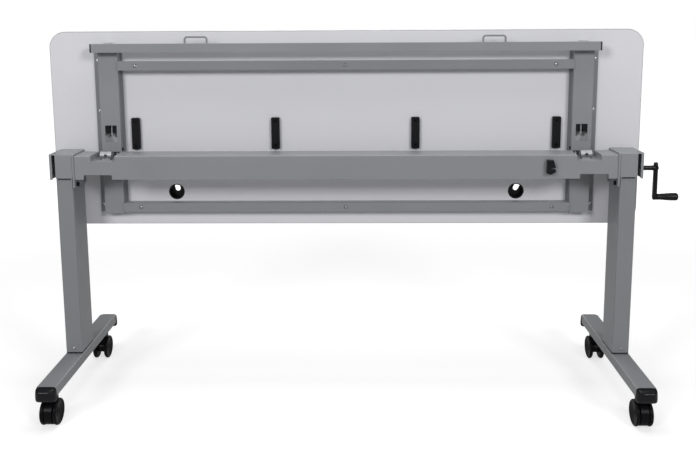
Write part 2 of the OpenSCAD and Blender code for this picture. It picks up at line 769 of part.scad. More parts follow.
// Cross shaft, crank arm and grip
hub_gap = 2;
hub_wall = 1;
arm_t = 12;
arm_top_r = 17;
arm_low_r = 11.5;
hub_wall_r = shaft_r + hub_wall;
shaft_in = 14;
spindle_r = 4;
grip_gap = 1;
grip_neck_share = 0.74;
grip_end = 7;
crank_screw_h = 4;
crank_screw_head_r = 5;
crank_screw_r = 2.5;
crank_screw_in = 10;
hub_x0 = head_x1 + hub_gap;
arm_x0 = crank_x - grip_len - grip_gap - arm_t;
arm_x1 = arm_x0 + arm_t;
grip_z = shaft_z - crank_r;

module shaft_bar() difference() {
  rod_x(shaft_r, -head_x1 - shaft_tail, hub_x0 + shaft_in, 0, shaft_z);
  rod_x(crank_screw_r + seat_gap, hub_x0 + shaft_in - crank_screw_in - over, hub_x0 + shaft_in + over,
        0, shaft_z);
}

module arm_shape() difference() {
  union() {
    rod_x(hub_wall_r, hub_x0, arm_x1, 0, shaft_z);
    across(arm_x0, arm_x1) {
      lean = asin((arm_top_r - arm_low_r) / crank_r);
      translate([0, shaft_z]) circle(arm_top_r);
      translate([0, grip_z]) circle(arm_low_r);
      polygon([[arm_top_r * cos(lean), shaft_z + arm_top_r * sin(lean)],
               [arm_low_r * cos(lean), grip_z + arm_low_r * sin(lean)],
               [-arm_low_r * cos(lean), grip_z + arm_low_r * sin(lean)],
               [-arm_top_r * cos(lean), shaft_z + arm_top_r * sin(lean)]]);
    }
  }
  rod_x(shaft_r + seat_gap, hub_x0 - over, hub_x0 + shaft_in + seat_gap, 0, shaft_z);
  rod_x(crank_screw_r + seat_gap, hub_x0, arm_x1 + over, 0, shaft_z);
  rod_x(spindle_r + seat_gap, arm_x0 - over, arm_x1 + over, 0, grip_z);
}

// The screw that holds the arm on the shaft, and the spindle of the grip
module pin_pair() {
  rod_x(crank_screw_head_r, arm_x1, arm_x1 + crank_screw_h, 0, shaft_z);
  rod_x(crank_screw_r, hub_x0 + shaft_in - crank_screw_in, arm_x1 + crank_screw_h, 0, shaft_z);
  rod_x(spindle_r, arm_x0, crank_x - grip_end, 0, grip_z);
}

// Grip: a handle that swells towards its closed outer end
module grip_shape() translate([arm_x1 + grip_gap, 0, grip_z]) rotate([0, 90, 0]) rotate_extrude() {
  r0 = grip_r * grip_neck_share;
  bore = spindle_r + run_gap;
  end_r = grip_end / 2;
  polygon([[bore, 0], [r0, 0], [r0 + over, end_r], [grip_r, grip_len - 3 * end_r], [grip_r, grip_len - end_r],
           [grip_r - end_r, grip_len - end_r], [grip_r - end_r, grip_len], [0, grip_len],
           [0, grip_len - grip_end + over],
           [bore, grip_len - grip_end + over]]);
  translate([grip_r - end_r, grip_len - end_r]) intersection() {
    circle(end_r);
    square(end_r);
  }
}

// Leadscrew with a journal in the gearbox floor
screw_tail = 10;
screw_z0 = leg_top - nut_len - lift - screw_tail;
journal_gap = 1.5;
journal_top = shaft_z - shaft_r - journal_gap;

module leadscrew() {
  rod_z(screw_r, leg_x, 0, screw_z0, box_z0 - box_gap);
  rod_z(journal_r, leg_x, 0, box_z0 - box_gap, journal_top);
}

// Top: a board with an edge band
pilot_r = 2.2;
pilot_depth = 13;
frame_head_r = 4.5;
frame_head_h = 2.5;
flange_front_in = 47;
flange_rear_in = 24;
flange_middle_b = 136;
flange_screw_bs = [chan_front - flange_front_in, flange_middle_b, flange_rear_in - chan_rear];
flange_screw_x = chan_out + flange_out / 2;
rail_screw_in = 85;
rail_screw_x = chan_x - rail_screw_in;
rail_screw_bs = [front_rail_b, -rear_rail_b];
strip_gap = 0.3;
strip_t = hinge_z + under_y - hinge_y - beam_top - strip_gap;
strip_start = 15.5;
strip_mid_b = strip_len / 2 + strip_start;
strip_r = 4;
strip_screw_b = 38;
strip_outer_x = chan_x - strip_outer_in;
strip_xs = [-strip_outer_x, -strip_inner_x, strip_inner_x, strip_outer_x];
grommet_x = chan_x - grommet_in;

// Places of the screws that enter the board, as [x, z]
rail_places = [for (x = [-rail_screw_x, 0, rail_screw_x], b = rail_screw_bs) [x, hinge_z + b]];
flange_places = [for (s = [-1, 1], b = flange_screw_bs) [s * flange_screw_x, hinge_z + b]];
strip_places = [for (x = strip_xs, s = [-1, 1]) [x, hinge_z + strip_mid_b + s * strip_screw_b]];

liner_t = 3.3;
liner_rim = 6;
liner_rim_t = 2;
grommet_hole_r = grommet_r + liner_t + seat_gap;
cap_disc_t = 3;
cap_notch_w = 16;
cap_notch_low = 2;
cap_turns = [-10, 28];

module desk_outline(inset) translate([0, (desk_z0 + desk_z1) / 2])
  rounded(desk_w - 2 * inset, desk_d - 2 * inset, desk_corner_r - inset);

module board() difference() {
  facing(under_y, work_y) desk_outline(edge_t);
  both() {
    rod_y(grommet_hole_r, grommet_x, under_y - over, work_y + over, hinge_z - grommet_b);
    rod_y(grommet_hole_r + liner_rim, grommet_x, work_y - liner_rim_t, work_y + over, hinge_z - grommet_b);
  }
  for (p = concat(rail_places, flange_places, strip_places))
    rod_y(pilot_r + seat_gap, p[0], under_y - over, under_y + pilot_depth, p[1]);
}

module band() facing(under_y, work_y) difference() {
  desk_outline(0);
  desk_outline(edge_t);
}

// Channel: a hat section with a cut at the hinge, a latch window and a slot for the release bar's neck
cut_rear = 20;
cut_front = 11;
pin_room = 2;
neck_w = 10;
neck_play = 1;
neck_up = 4;
bar_b = chan_front - bar_front_gap;
neck_b0 = bar_b + neck_up;
neck_b1 = chan_front;

module channel() difference() {
  union() {
    difference() {
      box([chan_in, web_y, chan_z0], [chan_out, under_y, chan_z1]);
      box([chan_in + chan_t, web_in, chan_z0 - over], [chan_out - chan_t, under_y + over, chan_z1 + over]);
    }
    box([chan_out - chan_t, under_y - chan_t, chan_z0], [chan_out + flange_out, under_y, chan_z1]);
    box([chan_in - flange_in, under_y - chan_t, chan_z0], [chan_in + chan_t, under_y, chan_z1]);
  }
  box([chan_x - cavity_w, web_y - over, hinge_z - cut_rear],
      [chan_x + cavity_w, web_in + over, hinge_z + cut_front]);
  box([chan_x - window_w / 2, web_y - over, hinge_z + window_b0],
      [chan_x + window_w / 2, web_in + over, hinge_z + window_b1]);
  box([chan_x - neck_w / 2 - neck_play, web_y - over, hinge_z + neck_b0 - 2 * neck_play],
      [chan_x + neck_w / 2 + neck_play, web_in + over, chan_z1 + over]);
  for (b = flange_screw_bs)
    rod_y(pilot_r + seat_gap, flange_screw_x, under_y - 2 * chan_t, under_y + over, hinge_z + b);
  for (x = [chan_in - over, chan_out - chan_t - over])
    rod_x(bolt_r + seat_gap, x, x + chan_t + 2 * over, hinge_bolt_y, hinge_z + hinge_bolt_b);
  rod_x(pin_r + pin_room, chan_in - over, chan_out + over, hinge_y, hinge_z);
}

// Cross rail: a folded channel with a boss behind each screw, notched at its ends over the inner flanges
boss_gap = 0.2;
rail_hole_r = 6;
rail_boss_r = 7;
rail_y = under_y - rail_d;

module rail(z) difference() {
  union() {
    across(-chan_in + seat_gap, chan_in - seat_gap) translate([rail_y, z - rail_w / 2]) difference() {
      square([rail_d, rail_w]);
      translate([chan_t, chan_t]) square([rail_d, rail_w - 2 * chan_t]);
    }
    for (x = [-rail_screw_x, 0, rail_screw_x]) rod_y(rail_boss_r, x, rail_y + chan_t / 2, under_y, z);
  }
  for (x = [-rail_screw_x, 0, rail_screw_x]) {
    rod_y(rail_hole_r, x, rail_y - over, rail_y + chan_t + frame_head_h / 2, z);
    rod_y(pilot_r + seat_gap, x, rail_y, under_y + over, z);
  }
  both() box([chan_in - flange_in - boss_gap, under_y - chan_t - boss_gap, z - rail_w],
             [chan_in + over, under_y + over, z + rail_w]);
}

// Wood screws of the rails, flanges and strips
module wood_screw_set() {
  for (p = strip_places) {
    y = under_y - strip_t / 2;
    rod_y(screw_head_r, p[0], y - screw_head_h, y, p[1]);
    rod_y(pilot_r, p[0], y, under_y + pilot_depth - over, p[1]);
  }
  for (p = rail_places) {
    y = rail_y + chan_t + frame_head_h / 2;
    rod_y(frame_head_r, p[0], y - frame_head_h, y, p[1]);
    rod_y(pilot_r, p[0], y, under_y + pilot_depth - over, p[1]);
  }
  for (p = flange_places) {
    y = under_y - chan_t;
    rod_y(frame_head_r, p[0], y - frame_head_h, y, p[1]);
    rod_y(pilot_r, p[0], y, under_y + pilot_depth - over, p[1]);
  }
}

module strips() for (x = strip_xs) difference() {
  facing(under_y - strip_t, under_y) translate([x, hinge_z + strip_mid_b]) rounded(strip_w, strip_len, strip_r);
  for (s = [-1, 1]) {
    z = hinge_z + strip_mid_b + s * strip_screw_b;
    rod_y(screw_head_r + boss_gap, x, under_y - strip_t - over, under_y - strip_t / 2, z);
    rod_y(pilot_r + seat_gap, x, under_y - strip_t, under_y + over, z);
  }
}

// Grommet: a liner with a rim let into the work surface and a turned disc with a cable notch
module liner() translate([0, 0, hinge_z - grommet_b]) difference() {
  union() {
    rod_y(grommet_r + liner_t, 0, under_y, work_y, 0);
    rod_y(grommet_r + liner_t + liner_rim, 0, work_y - liner_rim_t, work_y, 0);
  }
  rod_y(grommet_r, 0, under_y - over, work_y + over, 0);
}

module liner_cap(turn) translate([0, 0, hinge_z - grommet_b]) difference() {
  rod_y(grommet_r - seat_gap, 0, work_y - cap_disc_t, work_y, 0);
  rotate([0, turn, 0]) {
    rod_y(cap_notch_w / 2, 0, work_y - 2 * cap_disc_t, work_y + 2 * cap_disc_t, cap_notch_w / 2 - cap_notch_low);
    box([-cap_notch_w / 2, work_y - 2 * cap_disc_t, cap_notch_w / 2 - cap_notch_low],
        [cap_notch_w / 2, work_y + 2 * cap_disc_t, 2 * grommet_r]);
  }
}

// Hinge plates inside the channels, their bolts, and the pins
plate_t = 3;
plate_r = 11;
plate_back = 3;
plate_up = 31;
bolt_back = 7;
hinge_bolt_y = hinge_y + bolt_back;
hinge_bolt_b = 17.5;
bolt_r = 3;
hinge_head_r = 5.5;
hinge_head_h = 3;
clip_ring_r = 7;
clip_ring_t = 2;
clip_ring_in = 21;

module hinge_plate_pair() for (s = [-1, 1]) difference() {
  x = chan_x + s * (cavity_w - plate_t / 2);
  across(x - plate_t / 2 + seat_gap, x + plate_t / 2 - seat_gap) {
    translate([hinge_y, hinge_z]) circle(plate_r);
    translate([hinge_y, hinge_z - plate_r]) square([under_y - plate_back - hinge_y, plate_r + plate_up]);
  }
  rod_x(pin_r + seat_gap, x - plate_t, x + plate_t, hinge_y, hinge_z);
  rod_x(bolt_r + seat_gap, x - plate_t, x + plate_t, hinge_bolt_y, hinge_z + hinge_bolt_b);
}

module hinge_bolt_pair() for (s = [-1, 1]) {
  side = s * (chan_w / 2);
  rod_x(bolt_r, chan_x + min(side, s * (cavity_w - plate_t)), chan_x + max(side, s * (cavity_w - plate_t)),
        hinge_bolt_y, hinge_z + hinge_bolt_b);
  rod_x(hinge_head_r, chan_x + min(side, side + s * hinge_head_h), chan_x + max(side, side + s * hinge_head_h),
        hinge_bolt_y, hinge_z + hinge_bolt_b);
}

module hinge_pin() {
  rod_x(pin_r, chan_x - cavity_w + seat_gap, chan_x + cavity_w - seat_gap, hinge_y, hinge_z);
  for (s = [-1, 1]) difference() {
    x = chan_x + s * clip_ring_in;
    rod_x(clip_ring_r, x, x + clip_ring_t, hinge_y, hinge_z);
    rod_x(pin_r, x - over, x + clip_ring_t + over, hinge_y, hinge_z);
  }
}

// Plastic rod guides: the lower one shows in the window with the rod in its open groove
guide_low_h = 36;
guide_high_b = 171;
guide_high_h = 15;
guide_side = 0.3;
spring_up = 8;
spring_b0 = guide_b0 + guide_low_h + spring_up;

module guide(b0, h, grooved) difference() {
  box([chan_x - cavity_w + guide_side, web_in + guide_side / 3, hinge_z + b0],
      [chan_x + cavity_w - guide_side, under_y - guide_side / 3, hinge_z + b0 + h]);
  rod_z(rod_r + run_gap, chan_x, latch_y, hinge_z + b0 - over, hinge_z + b0 + h + over);
  if (grooved)
    box([chan_x - rod_r - run_gap, web_y, hinge_z + b0 - over],
        [chan_x + rod_r + run_gap, latch_y, hinge_z + b0 + h + over]);
}

module latch_guide_pair() {
  guide(guide_b0, guide_low_h, true);
  guide(guide_high_b, guide_high_h, false);
}

// Release bar: a square tube with capped ends, carried by the rods' necks
bar_t = 1.5;
bar_gap = 4;
bar_cap_t = 4;
bar_plug = 18;
bar_z0 = hinge_z + bar_b;
bar_y0 = web_y - bar_gap - bar_d;
bar_half = chan_x + bar_over - bar_cap_t;

module bar_tube() across(-bar_half, bar_half) translate([bar_y0, bar_z0]) difference() {
  square([bar_d, bar_h]);
  translate([bar_t, bar_t]) square([bar_d - 2 * bar_t, bar_h - 2 * bar_t]);
}

module bar_cap() {
  box([bar_half, bar_y0, bar_z0], [bar_half + bar_cap_t, bar_y0 + bar_d, bar_z0 + bar_h]);
  box([bar_half - bar_plug, bar_y0 + bar_t + cap_fit, bar_z0 + bar_t + cap_fit],
      [bar_half, bar_y0 + bar_d - bar_t - cap_fit, bar_z0 + bar_h - bar_t - cap_fit]);
}

loop_bend = 8;
loop_x = chan_x - loop_in;
loop_y = bar_y0 + bar_d / 2;

module pull_loop() {
  z0 = bar_z0 + bar_h;
  z1 = z0 + loop_h - loop_r;
  half = loop_w / 2 - loop_r;
  for (s = [-1, 1]) {
    rod_z(loop_r, loop_x + s * half, loop_y, z0, z1 - loop_bend);
    translate([loop_x + s * (half - loop_bend), loop_y, z1 - loop_bend]) rotate([90, s < 0 ? -90 : 0, 0])
      rotate_extrude(angle = 90) translate([loop_bend, 0]) circle(loop_r);
  }
  rod_x(loop_r, loop_x - half + loop_bend, loop_x + half - loop_bend, loop_y, z1);
}

// Latch rod: a pin with a collar for its spring and a head that carries the bar
rod_tip_b = 60;
rod_cone = 4;
collar_len = 4;
rod_collar_r = 7.5;
rod_head_w = 22;
rod_head_d = 18;
rod_head_up = 30;
rod_head_b0 = bar_b - neck_up;
rod_head_b1 = bar_b + rod_head_up;

module latch_rod() {
  rod_z(rod_r, chan_x, latch_y, hinge_z + rod_tip_b + rod_cone, hinge_z + rod_head_b0 + over);
  translate([chan_x, latch_y, hinge_z + rod_tip_b]) cylinder(r1 = rod_r / 2, r2 = rod_r, h = rod_cone);
  rod_z(rod_collar_r, chan_x, latch_y, hinge_z + spring_b0 - collar_len, hinge_z + spring_b0);
  box([chan_x - rod_head_w / 2, latch_y - rod_head_d / 2, hinge_z + rod_head_b0],
      [chan_x + rod_head_w / 2, latch_y + rod_head_d / 2, hinge_z + rod_head_b1]);
  box([chan_x - neck_w / 2, web_y - bar_gap, hinge_z + neck_b0],
      [chan_x + neck_w / 2, latch_y, hinge_z + neck_b1 - over]);
}

// Compression spring between the collar and the upper guide
spring_wire_r = 0.7;
spring_r = 6;
spring_turns = 8;
spring_steps = 8;
spring_sides = 6;
spring_z0 = hinge_z + spring_b0 + spring_wire_r + seat_gap;
spring_z1 = hinge_z + guide_high_b - spring_wire_r - seat_gap;
function spring_point(i, j) =
  let (turn = i / spring_steps, a = 360 * turn, b = 360 * j / spring_sides, r = spring_r + spring_wire_r * cos(b))
  [r * cos(a), r * sin(a), (spring_z1 - spring_z0) * turn / spring_turns + spring_wire_r * sin(b)];

module latch_spring() {
  n = spring_turns * spring_steps;
  m = spring_sides;
  points = [for (i = [0 : n], j = [0 : m - 1]) spring_point(i, j)];
  sides = [for (i = [0 : n - 1], j = [0 : m - 1]) each [
    [i * m + j, i * m + (j + 1) % m, (i + 1) * m + (j + 1) % m],
    [i * m + j, (i + 1) * m + (j + 1) % m, (i + 1) * m + j]]];
  ends = [for (j = [1 : m - 2]) each [[0, j + 1, j], [n * m, n * m + j, n * m + j + 1]]];
  translate([chan_x, latch_y, spring_z0]) polyhedron(points, concat(sides, ends));
}

// Sub-parts by name
module foot_left() color(steel_grey) placed() left() foot();
module foot_right() color(steel_grey) placed() foot();
module foot_caps() color(black) placed() both() for (s = [0, 1]) mirror([0, s, 0]) foot_cap();
module leg_left() color(steel_grey) placed() left() leg();
module leg_right() color(steel_grey) placed() leg();
module leg_sliders() color(black) placed() both() slider();
module leg_nuts() color(bronze) placed() both() leg_nut();
module foot_fasteners() color(bright) placed() both() foot_fastener_set();
module caster_stems() color(bright) placed() both() for (s = [-1, 1]) caster_stem(s * caster_y);
module caster_hood_front_left() color(black) placed() left() caster_hood(-caster_y, front_web_up);
module caster_hood_front_right() color(black) placed() caster_hood(-caster_y, front_web_up);
module caster_hood_rear_left() color(black) placed() left() caster_hood(caster_y, rear_web_up);
module caster_hood_rear_right() color(black) placed() caster_hood(caster_y, rear_web_up);
module caster_wheels_front_left() color(black) placed() left() caster_wheels(-caster_y);
module caster_wheels_front_right() color(black) placed() caster_wheels(-caster_y);
module caster_wheels_rear_left() color(black) placed() left() caster_wheels(caster_y);
module caster_wheels_rear_right() color(black) placed() caster_wheels(caster_y);
module column_left() color(steel_grey) placed() left() column();
module column_right() color(steel_grey) placed() column();
module head_left() color(steel_grey) placed() left() head();
module head_right() color(steel_grey) placed() head();
module glide_bushes() color(black) placed() both() glide_bush();
module column_screws() color(bright) placed() both() column_screw_set();
module gearboxes() color(bright) placed() both() gearbox();
module shaft_bushes() color(bronze) placed() both() shaft_bush();
module crossbeam() color(steel_grey) placed() beam_shell();
module beam_end_plates() color(steel_grey) placed() both() end_plate();
module beam_bolts() color(black) placed() both() end_bolt_set();
module hinge_brackets() color(steel_grey) placed() both() hinge_bracket();
module strike_blocks() color(bright) placed() both() strike_block();
module crank_clip() color(black) placed() clip_block();
module small_screws() color(bright) placed() small_screw_set();
module cross_shaft() color(bright) placed() shaft_bar();
module shaft_gears() color(bright) placed() both() shaft_gear();
module crank_arm() color(black) placed() arm_shape();
module crank_pins() color(bright) placed() pin_pair();
module crank_grip() color(black) placed() grip_shape();
module leadscrew_left() color(bright) placed() left() leadscrew();
module leadscrew_right() color(bright) placed() leadscrew();
module screw_gear_left() color(bright) placed() left() screw_gear();
module screw_gear_right() color(bright) placed() screw_gear();
module desktop() color(board_grey) placed() board();
module edge_band() color(board_grey) placed() band();
module channel_left() color(steel_grey) placed() left() channel();
module channel_right() color(steel_grey) placed() channel();
module front_rail() color(steel_grey) placed() rail(hinge_z + front_rail_b);
module rear_rail() color(steel_grey) placed() rail(hinge_z - rear_rail_b);
module wood_screws() color(bright) placed() wood_screw_set();
module bumper_strips() color(black) placed() strips();
module grommets() color(black) placed() for (s = [-1, 1]) translate([s * grommet_x, 0, 0]) liner();
module grommet_caps() color(black) placed() for (i = [0, 1])
  translate([(2 * i - 1) * grommet_x, 0, 0]) liner_cap(cap_turns[i]);
module hinge_plates() color(steel_grey) placed() both() hinge_plate_pair();
module hinge_bolts() color(black) placed() both() hinge_bolt_pair();
module hinge_pins() color(bright) placed() both() hinge_pin();
module latch_guides() color(black) placed() both() latch_guide_pair();
module release_bar() color(steel_grey) placed() bar_tube();
module bar_caps() color(black) placed() both() bar_cap();
module pull_loops() color(steel_grey) placed() both() pull_loop();
module latch_rods() color(bright) placed() both() latch_rod();
module latch_springs() color(bright) placed() both() latch_spring();

foot_left();
foot_right();
foot_caps();
leg_left();
leg_right();
leg_sliders();
leg_nuts();
foot_fasteners();
caster_stems();
caster_hood_front_left();
caster_hood_front_right();
caster_hood_rear_left();
caster_hood_rear_right();
caster_wheels_front_left();
caster_wheels_front_right();
caster_wheels_rear_left();
caster_wheels_rear_right();
column_left();
column_right();
head_left();
head_right();
glide_bushes();
column_screws();
gearboxes();
shaft_bushes();
crossbeam();
beam_end_plates();
beam_bolts();
hinge_brackets();
strike_blocks();
crank_clip();
small_screws();
cross_shaft();
shaft_gears();
crank_arm();
crank_pins();
crank_grip();
leadscrew_left();
leadscrew_right();
screw_gear_left();
screw_gear_right();
desktop();
edge_band();
channel_left();
channel_right();
front_rail();
rear_rail();
wood_screws();
bumper_strips();
grommets();
grommet_caps();
hinge_plates();
hinge_bolts();
hinge_pins();
latch_guides();
release_bar();
bar_caps();
pull_loops();
latch_rods();
latch_springs();
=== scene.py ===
# %% [markdown]
# # Dressing a flip top training table
# The steel frame, board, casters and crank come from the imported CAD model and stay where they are. This script
# gives every node a finish, replaces the moulded and turned parts by smoother surfaces, and sets the light.

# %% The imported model
import json
import math

import bmesh
import bpy
import numpy as np
from mathutils import Matrix, Vector


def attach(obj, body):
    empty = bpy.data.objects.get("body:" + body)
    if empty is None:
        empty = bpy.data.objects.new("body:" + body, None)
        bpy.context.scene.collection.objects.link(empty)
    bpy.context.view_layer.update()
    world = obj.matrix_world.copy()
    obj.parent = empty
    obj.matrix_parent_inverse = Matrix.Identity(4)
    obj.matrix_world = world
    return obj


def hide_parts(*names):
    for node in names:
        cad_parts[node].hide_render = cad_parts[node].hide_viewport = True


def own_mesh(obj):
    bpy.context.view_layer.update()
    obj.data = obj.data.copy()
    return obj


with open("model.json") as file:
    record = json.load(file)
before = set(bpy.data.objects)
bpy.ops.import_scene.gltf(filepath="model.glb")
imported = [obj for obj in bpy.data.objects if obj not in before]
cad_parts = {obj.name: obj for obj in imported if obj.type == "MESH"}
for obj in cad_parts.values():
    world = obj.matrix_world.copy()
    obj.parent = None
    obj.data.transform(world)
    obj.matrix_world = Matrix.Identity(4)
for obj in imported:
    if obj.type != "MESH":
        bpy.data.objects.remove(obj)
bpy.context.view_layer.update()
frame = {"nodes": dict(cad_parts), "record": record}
nodes = frame["nodes"]


def placed(name, data):
    """A new object for some data, linked into the scene at the origin."""
    made = bpy.data.objects.new(name, data)
    bpy.context.scene.collection.objects.link(made)
    return made


# %% [markdown]
# ## The camera
# The photograph looks slightly down on the table from the user's side, and its upright lines hardly converge, as with
# a lens that is shifted. A plain pinhole camera with as little shift as the framing needs was fitted to the edges of
# the legs, feet, beam and top: its place, three angles and focal length in pixels are written here as numbers.

# %% Camera
PIXELS = 696
ROWS = 450
SENSOR_WIDTH = 36.0
FOCAL_PIXELS = 796.43
CENTRE_ROW = 137.0
CAMERA_AT = (-0.00135, -2.3893, 1.1497)
PITCH, YAW, ROLL = (math.radians(a) for a in (8.405, 0.927, -0.319))


def fitted_camera():
    """Right, up and back axes from yaw about Z, then pitch down, then roll about the view axis."""
    right = Vector((math.cos(YAW), math.sin(YAW), 0))
    ahead = Vector((-math.sin(YAW) * math.cos(PITCH), math.cos(YAW) * math.cos(PITCH), -math.sin(PITCH)))
    up = right.cross(ahead)
    rolled_right = math.cos(ROLL) * right + math.sin(ROLL) * up
    rolled_up = -math.sin(ROLL) * right + math.cos(ROLL) * up
    data = bpy.data.cameras.new("camera")
    data.sensor_width = SENSOR_WIDTH
    data.lens = FOCAL_PIXELS / PIXELS * SENSOR_WIDTH
    data.shift_y = -(ROWS / 2 - CENTRE_ROW) / PIXELS
    data.clip_end = 100
    made = placed("camera", data)
    turn = Matrix((rolled_right, rolled_up, -ahead)).transposed().to_4x4()
    made.matrix_world = Matrix.Translation(CAMERA_AT) @ turn
    return made


camera = fitted_camera()
bpy.context.scene.camera = camera
print("lens", round(camera.data.lens, 2), "mm, shift", round(camera.data.shift_y, 3))

# %% [markdown]
# ## Shader maths as Python
# A finish is a formula over the surface, such as noise for the grain of a powder coat. Its nodes could be added and
# wired one by one, but that hides the formula. Wrapping a socket in a class lets it be written as an expression, and
# each operator adds its Math node.

# %% Sockets
class Socket:
    """A number that varies over a surface: an output socket with arithmetic."""

    def __init__(self, finish, out):
        self.finish, self.out = finish, out

    def _math(self, kind, a, b):
        return self.finish.node("ShaderNodeMath", {"operation": kind}, {0: a, 1: b})[0]

    def __add__(self, other):
        return self._math("ADD", self, other)

    def __sub__(self, other):
        return self._math("SUBTRACT", self, other)

    def __mul__(self, other):
        return self._math("MULTIPLY", self, other)

    __radd__, __rmul__ = __add__, __mul__


print("sockets add, take away and multiply")

# %% [markdown]
# A finish holds one material. Its grain is placed by object coordinates, which stay with a piece when its body moves.

# %% One finish
class Outputs:
    """The outputs of one node, by name or number."""

    def __init__(self, finish, made):
        self.finish, self.made = finish, made

    def __getitem__(self, key):
        return Socket(self.finish, self.made.outputs[key])


class Finish:
    """One material and the few calls that build it."""

    def __init__(self, name):
        self.material = bpy.data.materials.new(name)
        self.material.use_nodes = True
        self.tree = self.material.node_tree
        self.shader = self.tree.nodes["Principled BSDF"]
        self.place = self.node("ShaderNodeTexCoord")["Object"]

    def node(self, kind, settings=None, values=None):
        """One node: its settings by name, and its inputs by name or number, each a constant or a socket."""
        made = self.tree.nodes.new(kind)
        for key, value in (settings or {}).items():
            setattr(made, key, value)
        for key, value in (values or {}).items():
            self.set(made.inputs[key], value)
        return Outputs(self, made)

    def set(self, socket, value):
        """Wires a socket to an input, or writes a constant there; a colour gets its alpha."""
        if isinstance(value, Socket):
            self.tree.links.new(value.out, socket)
        elif isinstance(value, tuple) and len(value) == 3 and socket.type == "RGBA":
            socket.default_value = (*value, 1)
        else:
            socket.default_value = value

    def surface(self, **values):
        """The inputs of the surface's shader, with underscores for the spaces in their names."""
        for key, value in values.items():
            self.set(self.shader.inputs[key.replace("_", " ")], value)
        return self.material

    def noise(self, scale, detail=2.0, roughness=0.5):
        """Smooth noise from 0 to 1, whose features are about 1 / scale metres wide."""
        return self.node("ShaderNodeTexNoise", {}, {"Vector": self.place, "Scale": scale, "Detail": detail,
                                                    "Roughness": roughness})["Fac"]

    def stretched(self, sizes, scale):
        """Noise drawn out along an axis by a small scale in that direction."""
        place = self.node("ShaderNodeMapping", {}, {"Vector": self.place, "Scale": sizes})["Vector"]
        return self.node("ShaderNodeTexNoise", {}, {"Vector": place, "Scale": scale, "Detail": 2.0})["Fac"]

    def between(self, mask, low, high):
        """A colour that goes from low to high with a mask."""
        return self.node("ShaderNodeMix", {"data_type": "RGBA"}, {0: mask, 6: low, 7: high})[2]

    def bump(self, height, strength, distance):
        """A relief of that height in metres, seen in the light only."""
        return self.node("ShaderNodeBump", {}, {"Height": height, "Strength": strength, "Distance": distance})[0]


def tone(value, tint=(1.0, 1.0, 1.0)):
    """The linear colour of a grey written as it shows, from 0 to 255, times a tint."""
    c = value / 255
    linear = c / 12.92 if c <= 0.04045 else ((c + 0.055) / 1.055) ** 2.4
    return tuple(linear * t for t in tint)


print("a grey of 128 is", round(tone(128)[0], 3), "in linear light")

# %% [markdown]
# ## The finishes
# The frame is silver grey powder coat: a satin paint with an orange peel relief about a millimetre wide and a faint
# change of tone. The board has a pale laminate with a fine print of specks, its edge a plastic band. A photograph
# stretched over the parts would show its stretching and its seams, while noise in space meets at every edge. The
# tints are factors for red, green and blue, since every grey in the photograph is a little blue.

# %% Powder coat, laminate and edge band
COOL = (0.975, 1.0, 1.05)
PALE = (0.985, 0.985, 1.03)


def powder_coat(name, grey, roughness=0.42):
    """Orange peel relief, with tone and gloss drifting by a few per cent."""
    f = Finish(name)
    drift = f.noise(4.0)
    peel = f.noise(900.0, 2.0, 0.6)
    low, high = tone(grey - 5, COOL), tone(grey + 5, COOL)
    return f.surface(Base_Color=f.between(drift, low, high), Roughness=roughness + 0.08 * (drift - 0.5),
                     Metallic=0.0, Normal=f.bump(peel, 0.18, 0.0004))


def laminate(name, grey):
    """Fine specks on a soft cloud of tone, under a matt hide texture."""
    f = Finish(name)
    cloud = f.noise(3.0)
    speck = f.noise(1400.0, 1.0)
    mask = 0.6 * cloud + 0.4 * speck
    return f.surface(Base_Color=f.between(mask, tone(grey - 4, PALE), tone(grey + 4, PALE)),
                     Roughness=0.58 + 0.06 * (speck - 0.5), Normal=f.bump(speck, 0.08, 0.0002),
                     Specular_IOR_Level=0.3)


def edge_plastic(name, grey):
    """Matt plastic with faint streaks along its length."""
    f = Finish(name)
    streak = f.stretched((0.02, 1.0, 0.02), 900.0)
    return f.surface(Base_Color=f.between(streak, tone(grey - 6, PALE), tone(grey + 4, PALE)),
                     Roughness=0.4 + 0.1 * streak, Normal=f.bump(streak, 0.06, 0.0002))


steel_paint = powder_coat("silver_grey_powder_coat", 136)
# The columns and feet get a copy a few greys darker: painted shade for the weaker light low down on the legs.
tube_paint_painted_shade = powder_coat("column_powder_coat_painted_shade", 129, 0.38)
board_face = laminate("pale_grey_laminate", 216)
board_edge = edge_plastic("grey_edge_band", 178)
print("painted or plastic:", ", ".join(m.name for m in (steel_paint, tube_paint_painted_shade, board_face, board_edge)))

# %% [markdown]
# Moulded black parts have a spark eroded grain; turned and pressed steel parts are zinc plated, with brushing along
# their length; nuts and bushes are bronze. The grain is a relief in the material, since it is too fine for a mesh.

# %% Black plastic, black steel, zinc and bronze
INK = (0.93, 0.96, 1.16)
BRIGHT = (0.62, 0.63, 0.65)


def moulded(name, grey, roughness, grain, shine):
    """Moulded plastic: a fine grain in relief and gloss."""
    f = Finish(name)
    g = f.noise(grain, 2.0, 0.6)
    return f.surface(Base_Color=f.between(g, tone(grey - 4, INK), tone(grey + 5, INK)),
                     Roughness=roughness + 0.12 * (g - 0.5), Normal=f.bump(g, 0.15, 0.0003),
                     Specular_IOR_Level=shine)


def plated(name, colour, roughness, lengthways):
    """Plated metal: streaks drawn out along one axis vary its gloss."""
    f = Finish(name)
    streak = f.stretched(lengthways, 700.0)
    darker = tuple(c * 0.82 for c in colour)
    return f.surface(Base_Color=f.between(streak, darker, colour), Metallic=1.0,
                     Roughness=roughness + 0.14 * (streak - 0.5), Normal=f.bump(streak, 0.05, 0.0002))


